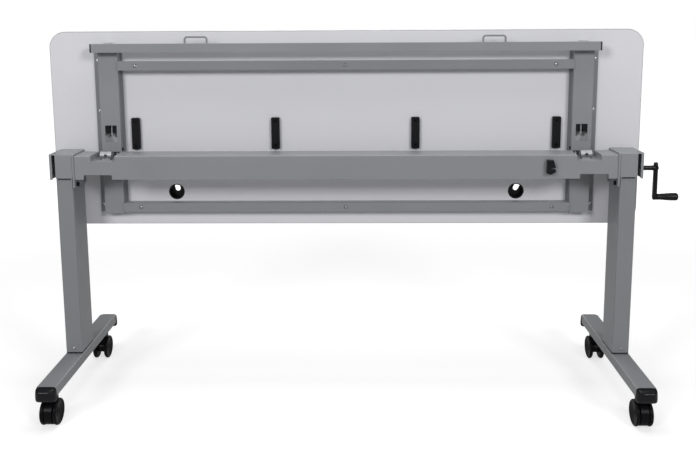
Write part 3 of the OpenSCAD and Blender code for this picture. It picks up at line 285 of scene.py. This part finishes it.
black_plastic = moulded("black_moulded_plastic", 20, 0.3, 1800.0, 0.2)
caster_black = moulded("black_nylon", 15, 0.32, 1200.0, 0.08)
black_steel = moulded("black_coated_steel", 17, 0.28, 1500.0, 0.2)
grip_black = moulded("black_grip", 16, 0.34, 1300.0, 0.2)
zinc = plated("bright_zinc", BRIGHT, 0.3, (1.0, 1.0, 0.05))
zinc_across = plated("bright_zinc_across", BRIGHT, 0.28, (0.05, 1.0, 1.0))
dull_zinc = plated("dull_zinc", (0.70, 0.71, 0.73), 0.85, (1.0, 1.0, 0.08))
strike_metal = plated("strike_metal", (0.42, 0.425, 0.44), 0.5, (0.08, 1.0, 1.0))
zinc_plain = plated("bright_zinc_plain", BRIGHT, 0.26, (0.6, 0.6, 0.6))
bronze = plated("plain_bronze", (0.55, 0.38, 0.17), 0.35, (1.0, 1.0, 0.1))
print("finishes so far", len(bpy.data.materials))

# %% [markdown]
# The imported model says which material each node is made of, so most finishes are given out by that name. A few nodes
# get one of their own, such as the tubes, whose darker paint is painted shade for the weaker light low down, and the
# rods, whose zinc is dull.

# %% Finishes on the nodes
FINISHES = {"steel_paint": steel_paint, "laminate": board_face, "edge_plastic": board_edge,
            "black_plastic": black_plastic, "caster_black": caster_black, "black_metal": black_steel, "zinc": zinc,
            "brass_nut": bronze}

for part in frame["record"]["subparts"]:
    materials = nodes[part["node"]].data.materials
    materials.clear()
    materials.append(FINISHES[part["material_slot"]])
# The darker tube paint on the columns and feet is painted shade.
OWN_FINISH = {"column_left": tube_paint_painted_shade, "column_right": tube_paint_painted_shade, "foot_left": tube_paint_painted_shade,
              "foot_right": tube_paint_painted_shade, "cross_shaft": zinc_across, "gearboxes": black_steel,
              "hinge_pins": black_steel, "latch_rods": dull_zinc, "strike_blocks": strike_metal}
for name, finish in OWN_FINISH.items():
    nodes[name].data.materials[0] = finish
print("finishes", len(bpy.data.materials))

# %% [markdown]
# ## Folded and pressed parts with soft edges
# Steel that is folded or sawn, and plastic that is moulded, never ends in a perfect corner. Each edge has a round that
# catches a thin line of light: a few tenths of a millimetre on a tube, and over two on the front casters' hoods.
# Rounds could be drawn in the CAD, but hundreds of them would slow it down, so a merged copy of the node gets
# Blender's Bevel modifier, and the copy stands for the node.

# %% Copies with rounded edges
MM = 0.001
IMPORTED = ("custom_normal", "sharp_face", "sharp_edge")
SAME_CORNER, SAME_POLE = 2e-6, 2e-7
BODY_OF = {node: body for body, held in frame["record"]["behaviour"]["bodies"].items() for node in held}


def softened(node, radius):
    """A copy of a node, doubles merged and flat faces joined, with a round of that radius in mm on every edge."""
    mesh = nodes[node].data.copy()
    for layer in [a for a in mesh.attributes if a.name in IMPORTED]:
        mesh.attributes.remove(layer)
    work = bmesh.new()
    work.from_mesh(mesh)
    bmesh.ops.remove_doubles(work, verts=work.verts, dist=SAME_CORNER)
    bmesh.ops.dissolve_limit(work, angle_limit=math.radians(0.4), verts=work.verts, edges=work.edges)
    work.to_mesh(mesh)
    work.free()
    mesh.shade_smooth()
    made = placed(node + "_rounded", mesh)
    bevel = made.modifiers.new("rounds", "BEVEL")
    bevel.width, bevel.segments, bevel.harden_normals = radius * MM, 2, True
    bevel.limit_method, bevel.angle_limit = "ANGLE", math.radians(30)
    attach(made, BODY_OF[node])
    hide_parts(node)


ROUNDS = {"crossbeam": 0.8, "beam_end_plates": 0.8, "head_left": 0.6, "head_right": 0.6, "column_left": 0.5,
          "column_right": 0.5, "foot_left": 0.6, "foot_right": 0.6, "channel_left": 0.7, "channel_right": 0.7,
          "front_rail": 0.8, "rear_rail": 0.8, "hinge_brackets": 0.6, "hinge_plates": 0.4, "release_bar": 0.6,
          "bar_caps": 0.8, "desktop": 0.3, "edge_band": 0.9, "bumper_strips": 0.9, "grommets": 0.7,
          "grommet_caps": 0.6, "crank_clip": 0.8, "strike_blocks": 0.6, "latch_guides": 0.5,
          "leg_left": 0.4, "leg_right": 0.4, "glide_bushes": 0.5, "shaft_bushes": 0.5, "latch_rods": 0.4,
          "caster_hood_front_left": 2.6, "caster_hood_front_right": 2.6, "caster_hood_rear_left": 1.6,
          "caster_hood_rear_right": 1.6}
for name, radius in ROUNDS.items():
    softened(name, radius)
print("rounded copies", len(ROUNDS))

# %% [markdown]
# ## Surfaces as arrays
# Everything turned, moulded or bent from wire is worked out with numpy. A surface is a grid of points, n rows of m,
# and its faces are found from the row and column numbers alone. Rows that shrink to a point are merged afterwards,
# which closes the poles.

# %% Grids to meshes
def grid_faces(n, m):
    """Quads between neighbouring rows and columns; the last column is joined to the first."""
    i, j = np.meshgrid(np.arange(n - 1), np.arange(m), indexing="ij")
    beside = (j + 1) % m
    return np.stack([i * m + j, (i + 1) * m + j, (i + 1) * m + beside, i * m + beside], -1).reshape(-1, 4)


def build(name, shells, finish, body, slot, *stands_for, crease=35):
    """One piece from a list of (points, faces): joined, poles merged, faces turned outwards, smooth up to a crease."""
    starts = np.cumsum([0] + [len(points) for points, _ in shells[:-1]])
    mesh = bpy.data.meshes.new(name)
    mesh.from_pydata(np.concatenate([points for points, _ in shells]), [],
                     np.concatenate([faces + start for (_, faces), start in zip(shells, starts)]))
    work = bmesh.new()
    work.from_mesh(mesh)
    bmesh.ops.remove_doubles(work, verts=work.verts, dist=SAME_POLE)
    bmesh.ops.recalc_face_normals(work, faces=work.faces)
    work.to_mesh(mesh)
    work.free()
    mesh.shade_smooth()
    mesh.set_sharp_from_angle(angle=math.radians(crease))
    mesh.materials.append(finish)
    made = placed(name, mesh)
    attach(made, body)
    if stands_for:
        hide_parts(*stands_for)
    return made


print("mesh helpers ready")

# %% [markdown]
# Two more helpers serve most pieces. A drawn outline has sharp corners, which real parts don't have, so one eases
# them. The other turns an outline round an axis, as a lathe does. Places are given in the table's own measures: mm
# from the floor and from the middle between the legs, which the crank puts a little left of the frame's origin.

# %% Outlines, turning and places
MIDDLE = -0.04925
LEG = 844
SIDES = (-1, 1)
CORNERS = [(sx, sy) for sx in SIDES for sy in SIDES]
AXES = {"x": np.array([[0, 1, 0], [0, 0, 1], [1, 0, 0]]), "y": np.array([[0, 0, 1], [1, 0, 0], [0, 1, 0]]),
        "z": np.eye(3)}


def around(steps):
    """Angles once round, without the last, which would repeat the first."""
    return np.linspace(0, 2 * math.pi, steps, endpoint=False)


def quarter(steps):
    """Angles from zero to a right angle."""
    return np.linspace(0, math.pi / 2, steps)


def xyz(x, y, z):
    """A point in mm from the table's middle, as metres in the frame."""
    return MIDDLE + x * MM, y * MM, z * MM


def eased(corners, ease):
    """A polyline whose inner corners become arcs: each is a parabola between the points that lie ease before and
    after it, (1 - t)^2 A + 2 t (1 - t) C + t^2 B."""
    p = np.array(corners, float)
    back, ahead = p[:-2] - p[1:-1], p[2:] - p[1:-1]
    reach = np.minimum(ease, 0.45 * np.minimum(np.linalg.norm(back, axis=1), np.linalg.norm(ahead, axis=1)))[:, None]
    a = p[1:-1] + reach * back / np.linalg.norm(back, axis=1)[:, None]
    b = p[1:-1] + reach * ahead / np.linalg.norm(ahead, axis=1)[:, None]
    t = np.linspace(0, 1, 5)[None, :, None]
    arcs = (1 - t) ** 2 * a[:, None] + 2 * t * (1 - t) * p[1:-1][:, None] + t ** 2 * b[:, None]
    return np.concatenate([p[:1], arcs.reshape(-1, 2), p[-1:]])


def turned(profile, axis, at, steps=48, away=1):
    """A profile of (radius, distance along) in mm, carried round an axis: radius cos, radius sin, distance."""
    r, along = np.array(profile, float).T
    a = around(steps)
    local = np.stack([np.outer(r, np.cos(a)), np.outer(r, np.sin(a)), np.outer(along * away, np.ones(steps))], -1)
    return (local.reshape(-1, 3) * MM) @ AXES[axis] + np.array(at), grid_faces(len(r), steps)


print("an eased corner has", len(eased([(0, 0), (1, 0), (1, 1)], 0.2)) - 2, "points")

# %% [markdown]
# ## Twin wheels
# Each caster has two wheels of hard nylon on one axle. A wheel is turned: a tread with rounded shoulders, a bead round
# the rim, a dished disc and a hub with the axle's end. One profile gives the whole wheel, and a negative distance
# gives its twin.

# %% Wheels
WHEEL = eased([(0, 12.4), (31.0, 12.4), (35.0, 13.6), (37.5, 17.4), (37.5, 20.4), (36.2, 23), (33.6, 24),
               (31.8, 24), (31.2, 22.6), (30.2, 22.4), (13, 18.2), (12, 19.6), (9, 19.6), (8.4, 18.4),
               (4.4, 18.4), (4, 20), (0, 20)], 1.6)
CASTER = 230
TRAIL = 18
WHEEL_RADIUS = 37.5
for end, sy in (("front", -1), ("rear", 1)):
    for side, sx in (("left", -1), ("right", 1)):
        hub = xyz(sx * LEG, sy * CASTER - TRAIL, WHEEL_RADIUS)
        build(f"wheel_pair_{end}_{side}", [turned(WHEEL, "x", hub, 64), turned(WHEEL, "x", hub, 64, -1)],
              caster_black, f"wheels_{end}_{side}", "caster_black", f"caster_wheels_{end}_{side}")
print("wheel profile points", len(WHEEL))

# %% [markdown]
# ## End caps of the feet
# A moulded cap closes each end of a foot. Its face bulges like a bumper, a little wider towards the floor, which a box
# with rounded edges wouldn't give. The cap is a squared oval that shrinks towards its front along a quarter of an
# ellipse, itself squared so that the middle of the face is nearly flat.

# %% Foot caps
CAP_MIDDLE_UP = 111
CAP_HALF_WIDE = 28.3
CAP_UP, CAP_DOWN = 15.6, 27.6
CAP_BACK, CAP_DEEP = 279.2, 21.8
PLUG_SHARE = (0.9, 1, 0.76)
PLUG_DEEP = 20
CAP_STEPS = 80


def squared(wave, power):
    """A sine or cosine raised to a power below one, with its sign kept."""
    return np.sign(wave) * np.abs(wave) ** power


def foot_cap(sx, sy):
    """Rows go outwards by the sine of v, and shrink by the root of its cosine; each row is a squared oval. The lower
    half is wider, and reaches below the tube. A plug of the rim's shape, drawn in, goes back into the tube."""
    v, a = quarter(17), around(CAP_STEPS)
    out, shrink = np.sin(v), np.cos(v) ** 0.5
    wide, high = squared(np.cos(a), 0.3), squared(np.sin(a), 0.36)
    below = 1 - 0.5 * (1 + high)
    x = sx * LEG + np.outer(shrink, wide * (1 + 0.1 * below)) * CAP_HALF_WIDE
    y = sy * (CAP_BACK + CAP_DEEP * out)[:, None] + 0 * x
    sunk = 3.4 * out[:, None] * (high > 0) * high
    z = CAP_MIDDLE_UP + np.outer(shrink, high * np.where(high > 0, CAP_UP, CAP_DOWN)) - sunk
    front = np.stack([x, y, z], -1).reshape(-1, 3)
    core = (sx * LEG, 0, CAP_MIDDLE_UP)
    neck = (front[:CAP_STEPS] - core) * PLUG_SHARE + core
    inner = neck - (0, sy * PLUG_DEEP, 0)
    back = (inner - core) * (0, 1, 0) + core
    return np.concatenate([back, inner, neck, front]) * MM + (MIDDLE, 0, 0), grid_faces(3 + len(v), CAP_STEPS)


build("foot_end_caps", [foot_cap(sx, sy) for sx, sy in CORNERS], black_plastic, "undercarriage", "black_plastic",
      "foot_caps", crease=50)
print("foot caps", len(CORNERS))

# %% [markdown]
# ## Grip of the crank
# The grip spins on its spindle. It is a moulded handle that starts slim beside the arm, swells outwards to fill the
# palm, and has a flat end with a round edge. As it is round all along, a profile turned about its axis gives it whole.

# %% Grip
SLIM, FULL = 9.0, 11.5
GRIP_UP = 609.5
GRIP_LENGTH, GRIP_END = 65, 169
ARM_GAP = 1
ARM_OUT = LEG + GRIP_END - GRIP_LENGTH - ARM_GAP


def grip_profile():
    """A collar, then a radius that rises by a smooth step, 3 t^2 - 2 t^3, and an end on a squared quarter ellipse."""
    t = np.linspace(0, 1, 24)
    swell = np.stack([SLIM + (FULL - SLIM) * (3 * t ** 2 - 2 * t ** 3), 3.5 + 44 * t], -1)
    a = quarter(14)
    dome = np.stack([FULL * np.cos(a) ** 0.55, 58.5 + 6.5 * np.sin(a)], -1)
    collar = eased([(0, 0), (9.2, 0), (9.5, 1.0), (9.4, 2.4), (SLIM, 3.5)], 0.4)
    return np.concatenate([collar, swell[1:], dome])


build("grip_handle", [turned(grip_profile(), "x", xyz(ARM_OUT + ARM_GAP, 0, GRIP_UP))], grip_black, "grip",
      "black_plastic", "crank_grip")
print("grip from", ARM_OUT + ARM_GAP, "mm to the right of the middle")

# %% [markdown]
# ## Crank arm
# The arm is a bar that stands a little above the shaft and widens down to the grip, with a sleeve over the shaft's
# end. A bevelled box would do for a sawn bar, but this one looks cast: its outline is carried across its thickness,
# and near both faces it shrinks along a quarter circle, so that its edges are round.

# %% Arm and sleeve
ARM_TOP, ARM_FOOT = (8.5, 708), (9.5, GRIP_UP)
ARM_THICK = 10
SLEEVE_AT = xyz(889, 0, 699)


def slab(outline, lo, hi, axis, edge):
    """A closed outline of (a, b) in mm carried from lo to hi. Each row is moved in along its normals by
    edge (1 - sin v) while it goes out by edge (1 - cos v), a quarter circle."""
    p = np.array(outline, float)
    run = np.roll(p, -1, 0) - np.roll(p, 1, 0)
    normal = np.stack([run[:, 1], -run[:, 0]], -1) / np.linalg.norm(run, axis=1)[:, None]
    v = quarter(4)
    inset = np.concatenate([edge * (1 - np.sin(v)), edge * (1 - np.sin(v[::-1]))])
    along = np.concatenate([lo + edge * (1 - np.cos(v)), hi - edge * (1 - np.cos(v[::-1]))])
    rows = p[None] - inset[:, None, None] * normal[None]
    centre = p.mean(0)
    rows = np.concatenate([rows[:1] * 0 + centre, rows, rows[-1:] * 0 + centre])
    along = np.concatenate([along[:1], along, along[-1:]])
    local = np.concatenate([rows, np.broadcast_to(along[:, None, None], (len(along), len(p), 1))], -1)
    return (local.reshape(-1, 3) * MM) @ AXES[axis], grid_faces(len(along), len(p))


def two_rounds(r0, c0, r1, c1):
    """A belt round two circles, radius and height of each, one above the other: a half turn on each."""
    a = np.linspace(0, math.pi, 24)
    return np.concatenate([np.stack([r0 * np.cos(a), c0 + r0 * np.sin(a)], -1),
                           np.stack([-r1 * np.cos(a), c1 - r1 * np.sin(a)], -1)])


arm_points, arm_faces = slab(two_rounds(*ARM_TOP, *ARM_FOOT), 0, ARM_THICK, "x", 2.6)
arm_points = arm_points + np.array(xyz(ARM_OUT - ARM_THICK, 0, 0))
sleeve = eased([(0, 0), (6.6, 0), (7.2, 0.6), (7.2, 40), (7.8, 42), (7.8, 58), (0, 58)], 0.8)
stud = eased([(0, 57), (4.8, 57), (4.8, 60.2), (3.8, 61.2), (0, 61.2)], 0.8)
build("crank_arm_cast",
      [(arm_points, arm_faces), turned(sleeve, "x", SLEEVE_AT, 40), turned(stud, "x", SLEEVE_AT, 32)],
      black_steel, "crank", "black_metal", "crank_arm", "crank_pins")
print("arm's outer face", ARM_OUT, "mm to the right of the middle")

# %% [markdown]
# ## Screws and bolts
# The frame is held by pan head screws with a cross recess and by hexagon bolts. A head is a height over a disc: the
# radius gives the dome or the chamfer, and for the recess the height drops where a point is close to one of two
# crossing lines.

# %% Heads of screws and bolts
ROWS_IN_DOME, ROUND_DOME = 18, 48
ROWS_IN_HEX, ROUND_HEX = 10, 72


def head_shell(rows, at, axis, away):
    """Rows of a head in mm, which faces along the axis or against it, moved to its place."""
    local = np.concatenate(rows)
    local[..., 2] *= away
    return (local.reshape(-1, 3) * MM) @ AXES[axis] + np.array(at), grid_faces(*local.shape[:2])


def pan_head(at, axis, r, h, away, shank):
    """A dome, h (0.35 + 0.65 (1 - u^4)^(1/2)) over the relative radius u, less a cross shaped recess whose arms are
    0.34 r wide and reach out 0.56 r, with soft edges; then the side, and a shank of a radius and a depth."""
    u, a = np.linspace(0, 1, ROWS_IN_DOME), around(ROUND_DOME)
    across, along = np.outer(u, np.cos(a)), np.outer(u, np.sin(a))
    near, far = np.minimum(np.abs(across), np.abs(along)), np.maximum(np.abs(across), np.abs(along))
    recess = np.clip((0.17 - near) / 0.05, 0, 1) * np.clip((0.56 - far) / 0.08, 0, 1)
    height = h * (0.35 + 0.65 * np.sqrt(1 - np.minimum(u, 0.999) ** 4))[:, None] - 0.62 * h * recess
    top = np.stack([across * r, along * r, height], -1)
    ring = top[-1:] * (1, 1, 0)
    under = ring * (shank[0] / r, shank[0] / r, 0)
    tip = under - (0, 0, shank[1])
    return head_shell([top, ring, under, tip, tip * (0, 0, 1)], at, axis, away)


def hex_head(at, axis, r, h, away, shank):
    """A hexagon, whose radius is r cos 30 / cos of the angle from the nearest flat, under a cone that cuts its
    corners: the height is the lower of h and h less 0.55 of how far a point lies beyond 0.84 r."""
    a = around(ROUND_HEX)
    side = r * math.cos(math.pi / 6) / np.cos((a + math.pi / 6) % (math.pi / 3) - math.pi / 6)
    radius = np.linspace(0, 1, ROWS_IN_HEX)[:, None] * side[None]
    height = np.minimum(h, h - 0.55 * (radius - 0.84 * r))
    cos, sin = np.cos(a)[None], np.sin(a)[None]
    top = np.stack([radius * cos, radius * sin, height], -1)
    ring = top[-1:] * (1, 1, 0)
    round_ring = np.stack([shank[0] * cos, shank[0] * sin, 0 * cos], -1)
    tip = round_ring - (0, 0, shank[1])
    return head_shell([top, ring, round_ring, tip, tip * (0, 0, 1)], at, axis, away)


print("screw heads have", ROWS_IN_DOME * ROUND_DOME, "and", ROWS_IN_HEX * ROUND_HEX, "points on top")

# %% [markdown]
# The screws in the rails and flanges are bright, and those in the rubber strips are black. The hinge's bolts have flat
# domed heads; the beam's bolts and those at the feet are hexagons. Each head is given by its place, its axis, its
# radius and height, the side that it faces, and its shank's radius and depth.

# %% Screws in place
FLANGE = [(s * 767, z) for s in SIDES for z in (573, 870.5, 1027)]
RAIL = [(x, z) for x in (-642, 0, 642) for z in (569, 1012)]
STRIP = [(x, z) for x in (-655, -218, 218, 655) for z in (761.5, 837.5)]
build("frame_screws", [pan_head(xyz(x, 72.5, z), "y", 4.5, 2.5, -1, (2.2, 14)) for x, z in FLANGE]
      + [pan_head(xyz(x, 45.75, z), "y", 4.5, 2.5, -1, (2.2, 40)) for x, z in RAIL],
      zinc_plain, "top", "zinc", "wood_screws")
build("strip_screws", [pan_head(xyz(x, 69.9, z), "y", 4, 2.5, -1, (2.2, 16)) for x, z in STRIP],
      black_steel, "top", "black_metal")
build("leg_collar_screws",
      [pan_head(xyz(sx * LEG, sy * 52, 144), "y", 4, 2.5, sy, (2.5, 4.2)) for sx, sy in CORNERS],
      zinc_plain, "carriage", "zinc", "column_screws")
build("bracket_and_clip_screws",
      [hex_head(xyz(s * x, 37.5, 711), "y", 5, 4, 1, (3, 5.5)) for s in SIDES for x in (719, 735)]
      + [pan_head(xyz(s * 727, -5.25, 728.5), "z", 4, 2.5, -1, (2.5, 10)) for s in SIDES]
      + [pan_head(xyz(605.25, -66.5, 726.4), "y", 4, 2.5, -1, (2, 16))],
      black_steel, "carriage", "zinc", "small_screws")
build("hinge_bolt_heads",
      [pan_head(xyz(s * x, 57, 752), "x", 5.5, 3, s * away, (3, 5.5))
       for s in SIDES for x, away in ((757, 1), (697, -1))],
      black_steel, "top", "black_metal", "hinge_bolts")
build("beam_bolt_heads",
      [hex_head(xyz(s * 812, y, z), "x", 7, 6.5, -s, (4, 6.9))
       for s in SIDES for y, z in ((-36, 660), (-36, 725), (17, 725))],
      black_steel, "carriage", "black_metal", "beam_bolts")
build("foot_bolts",
      [hex_head(xyz(sx * LEG, sy * 30, 96), "z", 8.5, 6.5, -1, (5, 50)) for sx, sy in CORNERS]
      + [hex_head(xyz(sx * LEG, sy * CASTER, 98.5), "z", 8.5, 8, 1, (5, 0.4)) for sx, sy in CORNERS],
      zinc_plain, "undercarriage", "zinc", "foot_fasteners")
print("screws", len(FLANGE) + len(RAIL) + len(STRIP), "in the top")

# %% [markdown]
# ## Pull loops and springs
# Both are bent from round wire. A curve with a round bevel would do in Blender too, but a grid says in one formula
# where each point lies. The wire is a circle carried along its middle line: at each point two directions square to the
# line carry the cosine and the sine. A loop lies in one plane, so one of the two is the same all along.

# %% Bent wire
LOOPS_X = (-451, 451)
LOOP_HALF, LOOP_BEND, LOOP_WIRE = 33.5, 8, 3.1
BAR_MIDDLE_Y, BAR_TOP = 30.5, 1080


def wire(path, side, radius, sides=14):
    """Rows of path + radius (cos a) side + radius (sin a) (tangent x side), closed at both ends."""
    p, n = np.array(path, float), np.array(side, float)
    tangent = np.gradient(p, axis=0)
    tangent /= np.linalg.norm(tangent, axis=1)[:, None]
    n = n - (n * tangent).sum(1)[:, None] * tangent
    n /= np.linalg.norm(n, axis=1)[:, None]
    b = np.cross(tangent, n)
    a = around(sides)
    rows = p[:, None] + radius * (np.cos(a)[None, :, None] * n[:, None] + np.sin(a)[None, :, None] * b[:, None])
    rows = np.concatenate([rows[:1] * 0 + p[0], rows, rows[-1:] * 0 + p[-1]])
    return rows.reshape(-1, 3), grid_faces(len(rows), sides)


def pull_loop(x):
    """Up, a quarter turn, across, a quarter turn, and down into the bar; the second half mirrors the first."""
    a = quarter(9)
    leg = np.array([(-LOOP_HALF, 1079.5), (-LOOP_HALF, 1084)])
    bend = np.stack([LOOP_BEND - LOOP_HALF - LOOP_BEND * np.cos(a), 1091.5 + LOOP_BEND * np.sin(a)], -1)
    half = np.concatenate([leg, bend])
    path = np.concatenate([half, half[::-1] * (-1, 1)])
    points = np.stack([x + path[:, 0], 0 * path[:, 0] + BAR_MIDDLE_Y, path[:, 1]], -1) * MM + (MIDDLE, 0, 0)
    return wire(points, np.tile([0, 1, 0], (len(points), 1)), LOOP_WIRE * MM)


loop_foot = eased([(0, 0), (4.6, 0), (3.9, 1.0), (2.6, 1.6), (0, 1.6)], 0.5)
loop_feet = [turned(loop_foot, "z", xyz(x + dx, BAR_MIDDLE_Y, BAR_TOP), 24)
             for x in LOOPS_X for dx in (-LOOP_HALF, LOOP_HALF)]
build("pull_loop_wires", [pull_loop(x) for x in LOOPS_X] + loop_feet, steel_paint, "release", "steel_paint",
      "pull_loops")
print("pull loops", len(LOOPS_X))

# %% [markdown]
# Each latch rod is pushed down by a spring of thin wire round it. When the loops are pulled, the rods rise by a
# centimetre and the springs get that much shorter, to 0.82 of their height. The piece gets a mesh of its own.

# %% Springs of the latches
RODS_X = (-727, 727)
ROD_Y = 59.5
SPRING_TURNS, SPRING_RADIUS, SPRING_WIRE = 8, 6, 0.7
SPRING_FROM, SPRING_TALL = 848.9, 55.7


def coil(x):
    """A helix: the height rises evenly, but for the first and last half turn, which lie nearly flat."""
    turn = np.linspace(0, SPRING_TURNS, SPRING_TURNS * 24 + 1)
    rise = np.clip((turn - 0.5) / (SPRING_TURNS - 1), 0, 1)
    z = SPRING_FROM + SPRING_TALL * (0.97 * rise + 0.03 * turn / SPRING_TURNS)
    out = np.stack([np.cos(2 * math.pi * turn), np.sin(2 * math.pi * turn), 0 * turn], -1)
    points = np.array(xyz(x, ROD_Y, 0)) + (SPRING_RADIUS * out + np.stack([0 * z, 0 * z, z], -1)) * MM
    return wire(points, out, SPRING_WIRE * MM, 10)


coils = build("latch_coils", [coil(x) for x in RODS_X], zinc_plain, "release", "zinc", "latch_springs")
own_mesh(coils)
print("springs", len(RODS_X), "with", SPRING_TURNS, "turns each")

# %% [markdown]
# ## Floor, backdrop and light
# The photograph shows the table on plain white. The floor is a pale matt sheet that glows to the camera, so that it
# reads as white and still keeps a soft shadow round the casters.

# %% Floor and world
FLOOR_HALF = 30
GLOW_NEAR, GLOW_FAR = (0.60, 0.60, 0.60), (0.98, 0.98, 0.98)
GLOW_FROM, GLOW_TO = 1.2, 4.5
GLOSSY_SHARE = 0.22
AMBIENT = 0.14


def floor_finish():
    """Matt white that glows to the camera and through holes, and a little in reflections. Near the table the glow is
    weaker, so that the shadow shows; it rises with the distance r as the lamps' light falls off."""
    f = Finish("white_floor")
    path = f.node("ShaderNodeLightPath")
    seen = path["Is Camera Ray"] + GLOSSY_SHARE * path["Is Glossy Ray"] + path["Is Transmission Ray"]
    r = f.node("ShaderNodeVectorMath", {"operation": "LENGTH"}, {0: f.place})["Value"]
    far = f.node("ShaderNodeMapRange", {"interpolation_type": "SMOOTHSTEP"},
                 {"Value": r, "From Min": GLOW_FROM, "From Max": GLOW_TO})["Result"]
    f.surface(Base_Color=(0.5, 0.5, 0.5), Roughness=0.9, Specular_IOR_Level=0.1,
              Emission_Color=f.between(far, GLOW_NEAR, GLOW_FAR))
    f.tree.links.new(seen.out, f.shader.inputs["Emission Strength"])
    return f.material


def white_world():
    """White to the camera, also where it looks through a hole, and a weaker even light on everything else."""
    world = bpy.data.worlds.new("studio")
    world.use_nodes = True
    bpy.context.scene.world = world
    tree = world.node_tree
    path = tree.nodes.new("ShaderNodeLightPath")
    back = tree.nodes["Background"]
    back.inputs["Color"].default_value = (1, 1, 1, 1)
    seen = tree.nodes.new("ShaderNodeMath")
    seen.operation = "MAXIMUM"
    tree.links.new(path.outputs["Is Camera Ray"], seen.inputs[0])
    tree.links.new(path.outputs["Is Transmission Ray"], seen.inputs[1])
    strength = tree.nodes.new("ShaderNodeMapRange")
    tree.links.new(seen.outputs[0], strength.inputs["Value"])
    strength.inputs["To Min"].default_value = AMBIENT
    strength.inputs["To Max"].default_value = 1.0
    tree.links.new(strength.outputs[0], back.inputs["Strength"])


floor = placed("floor", bpy.data.meshes.new("floor"))
floor_corners = [(x * FLOOR_HALF, y * FLOOR_HALF, 0) for x, y in ((-1, -1), (1, -1), (1, 1), (-1, 1))]
floor.data.from_pydata(floor_corners, [], [(0, 1, 2, 3)])
floor.data.materials.append(floor_finish())
white_world()
print("floor", 2 * FLOOR_HALF, "m wide, ambient", AMBIENT)

# %% [markdown]
# Two large soft boxes stand to the left and right of the camera, as the pairs of faint shadows beside the clip and
# the pull loops show. A wide one hangs above, and a weaker one behind keeps the far side of the top from going dark.
# Sun lamps would give hard shadows, which the photograph doesn't have. Each lamp is given by its place, the point that
# it faces, its width and height in metres, and its power in watts.

# %% Soft boxes
BEAM_MIDDLE = (0, 0, 0.75)


def soft_box(name, at, target, width, height, power):
    """A rectangular lamp at one point that faces another."""
    data = bpy.data.lights.new(name, "AREA")
    data.shape, data.size, data.size_y, data.energy = "RECTANGLE", width, height, power
    lamp = placed(name, data)
    lamp.location = at
    lamp.rotation_euler = (Vector(target) - Vector(at)).to_track_quat("-Z", "Y").to_euler()


soft_box("left_box", (-3.1, -4.6, 3.1), BEAM_MIDDLE, 1.4, 1.4, 129)
soft_box("right_box", (3.1, -4.6, 3.1), BEAM_MIDDLE, 1.4, 1.4, 129)
soft_box("top_box", (0, -0.15, 2.7), (0, -0.15, 0.6), 3.0, 1.1, 37)
soft_box("rear_box", (0, 4.2, 2.6), (0, 0, 0.8), 2.6, 1.2, 60)
bpy.context.scene.view_settings.view_transform = "Standard"
print("lamps", len(bpy.data.lights))
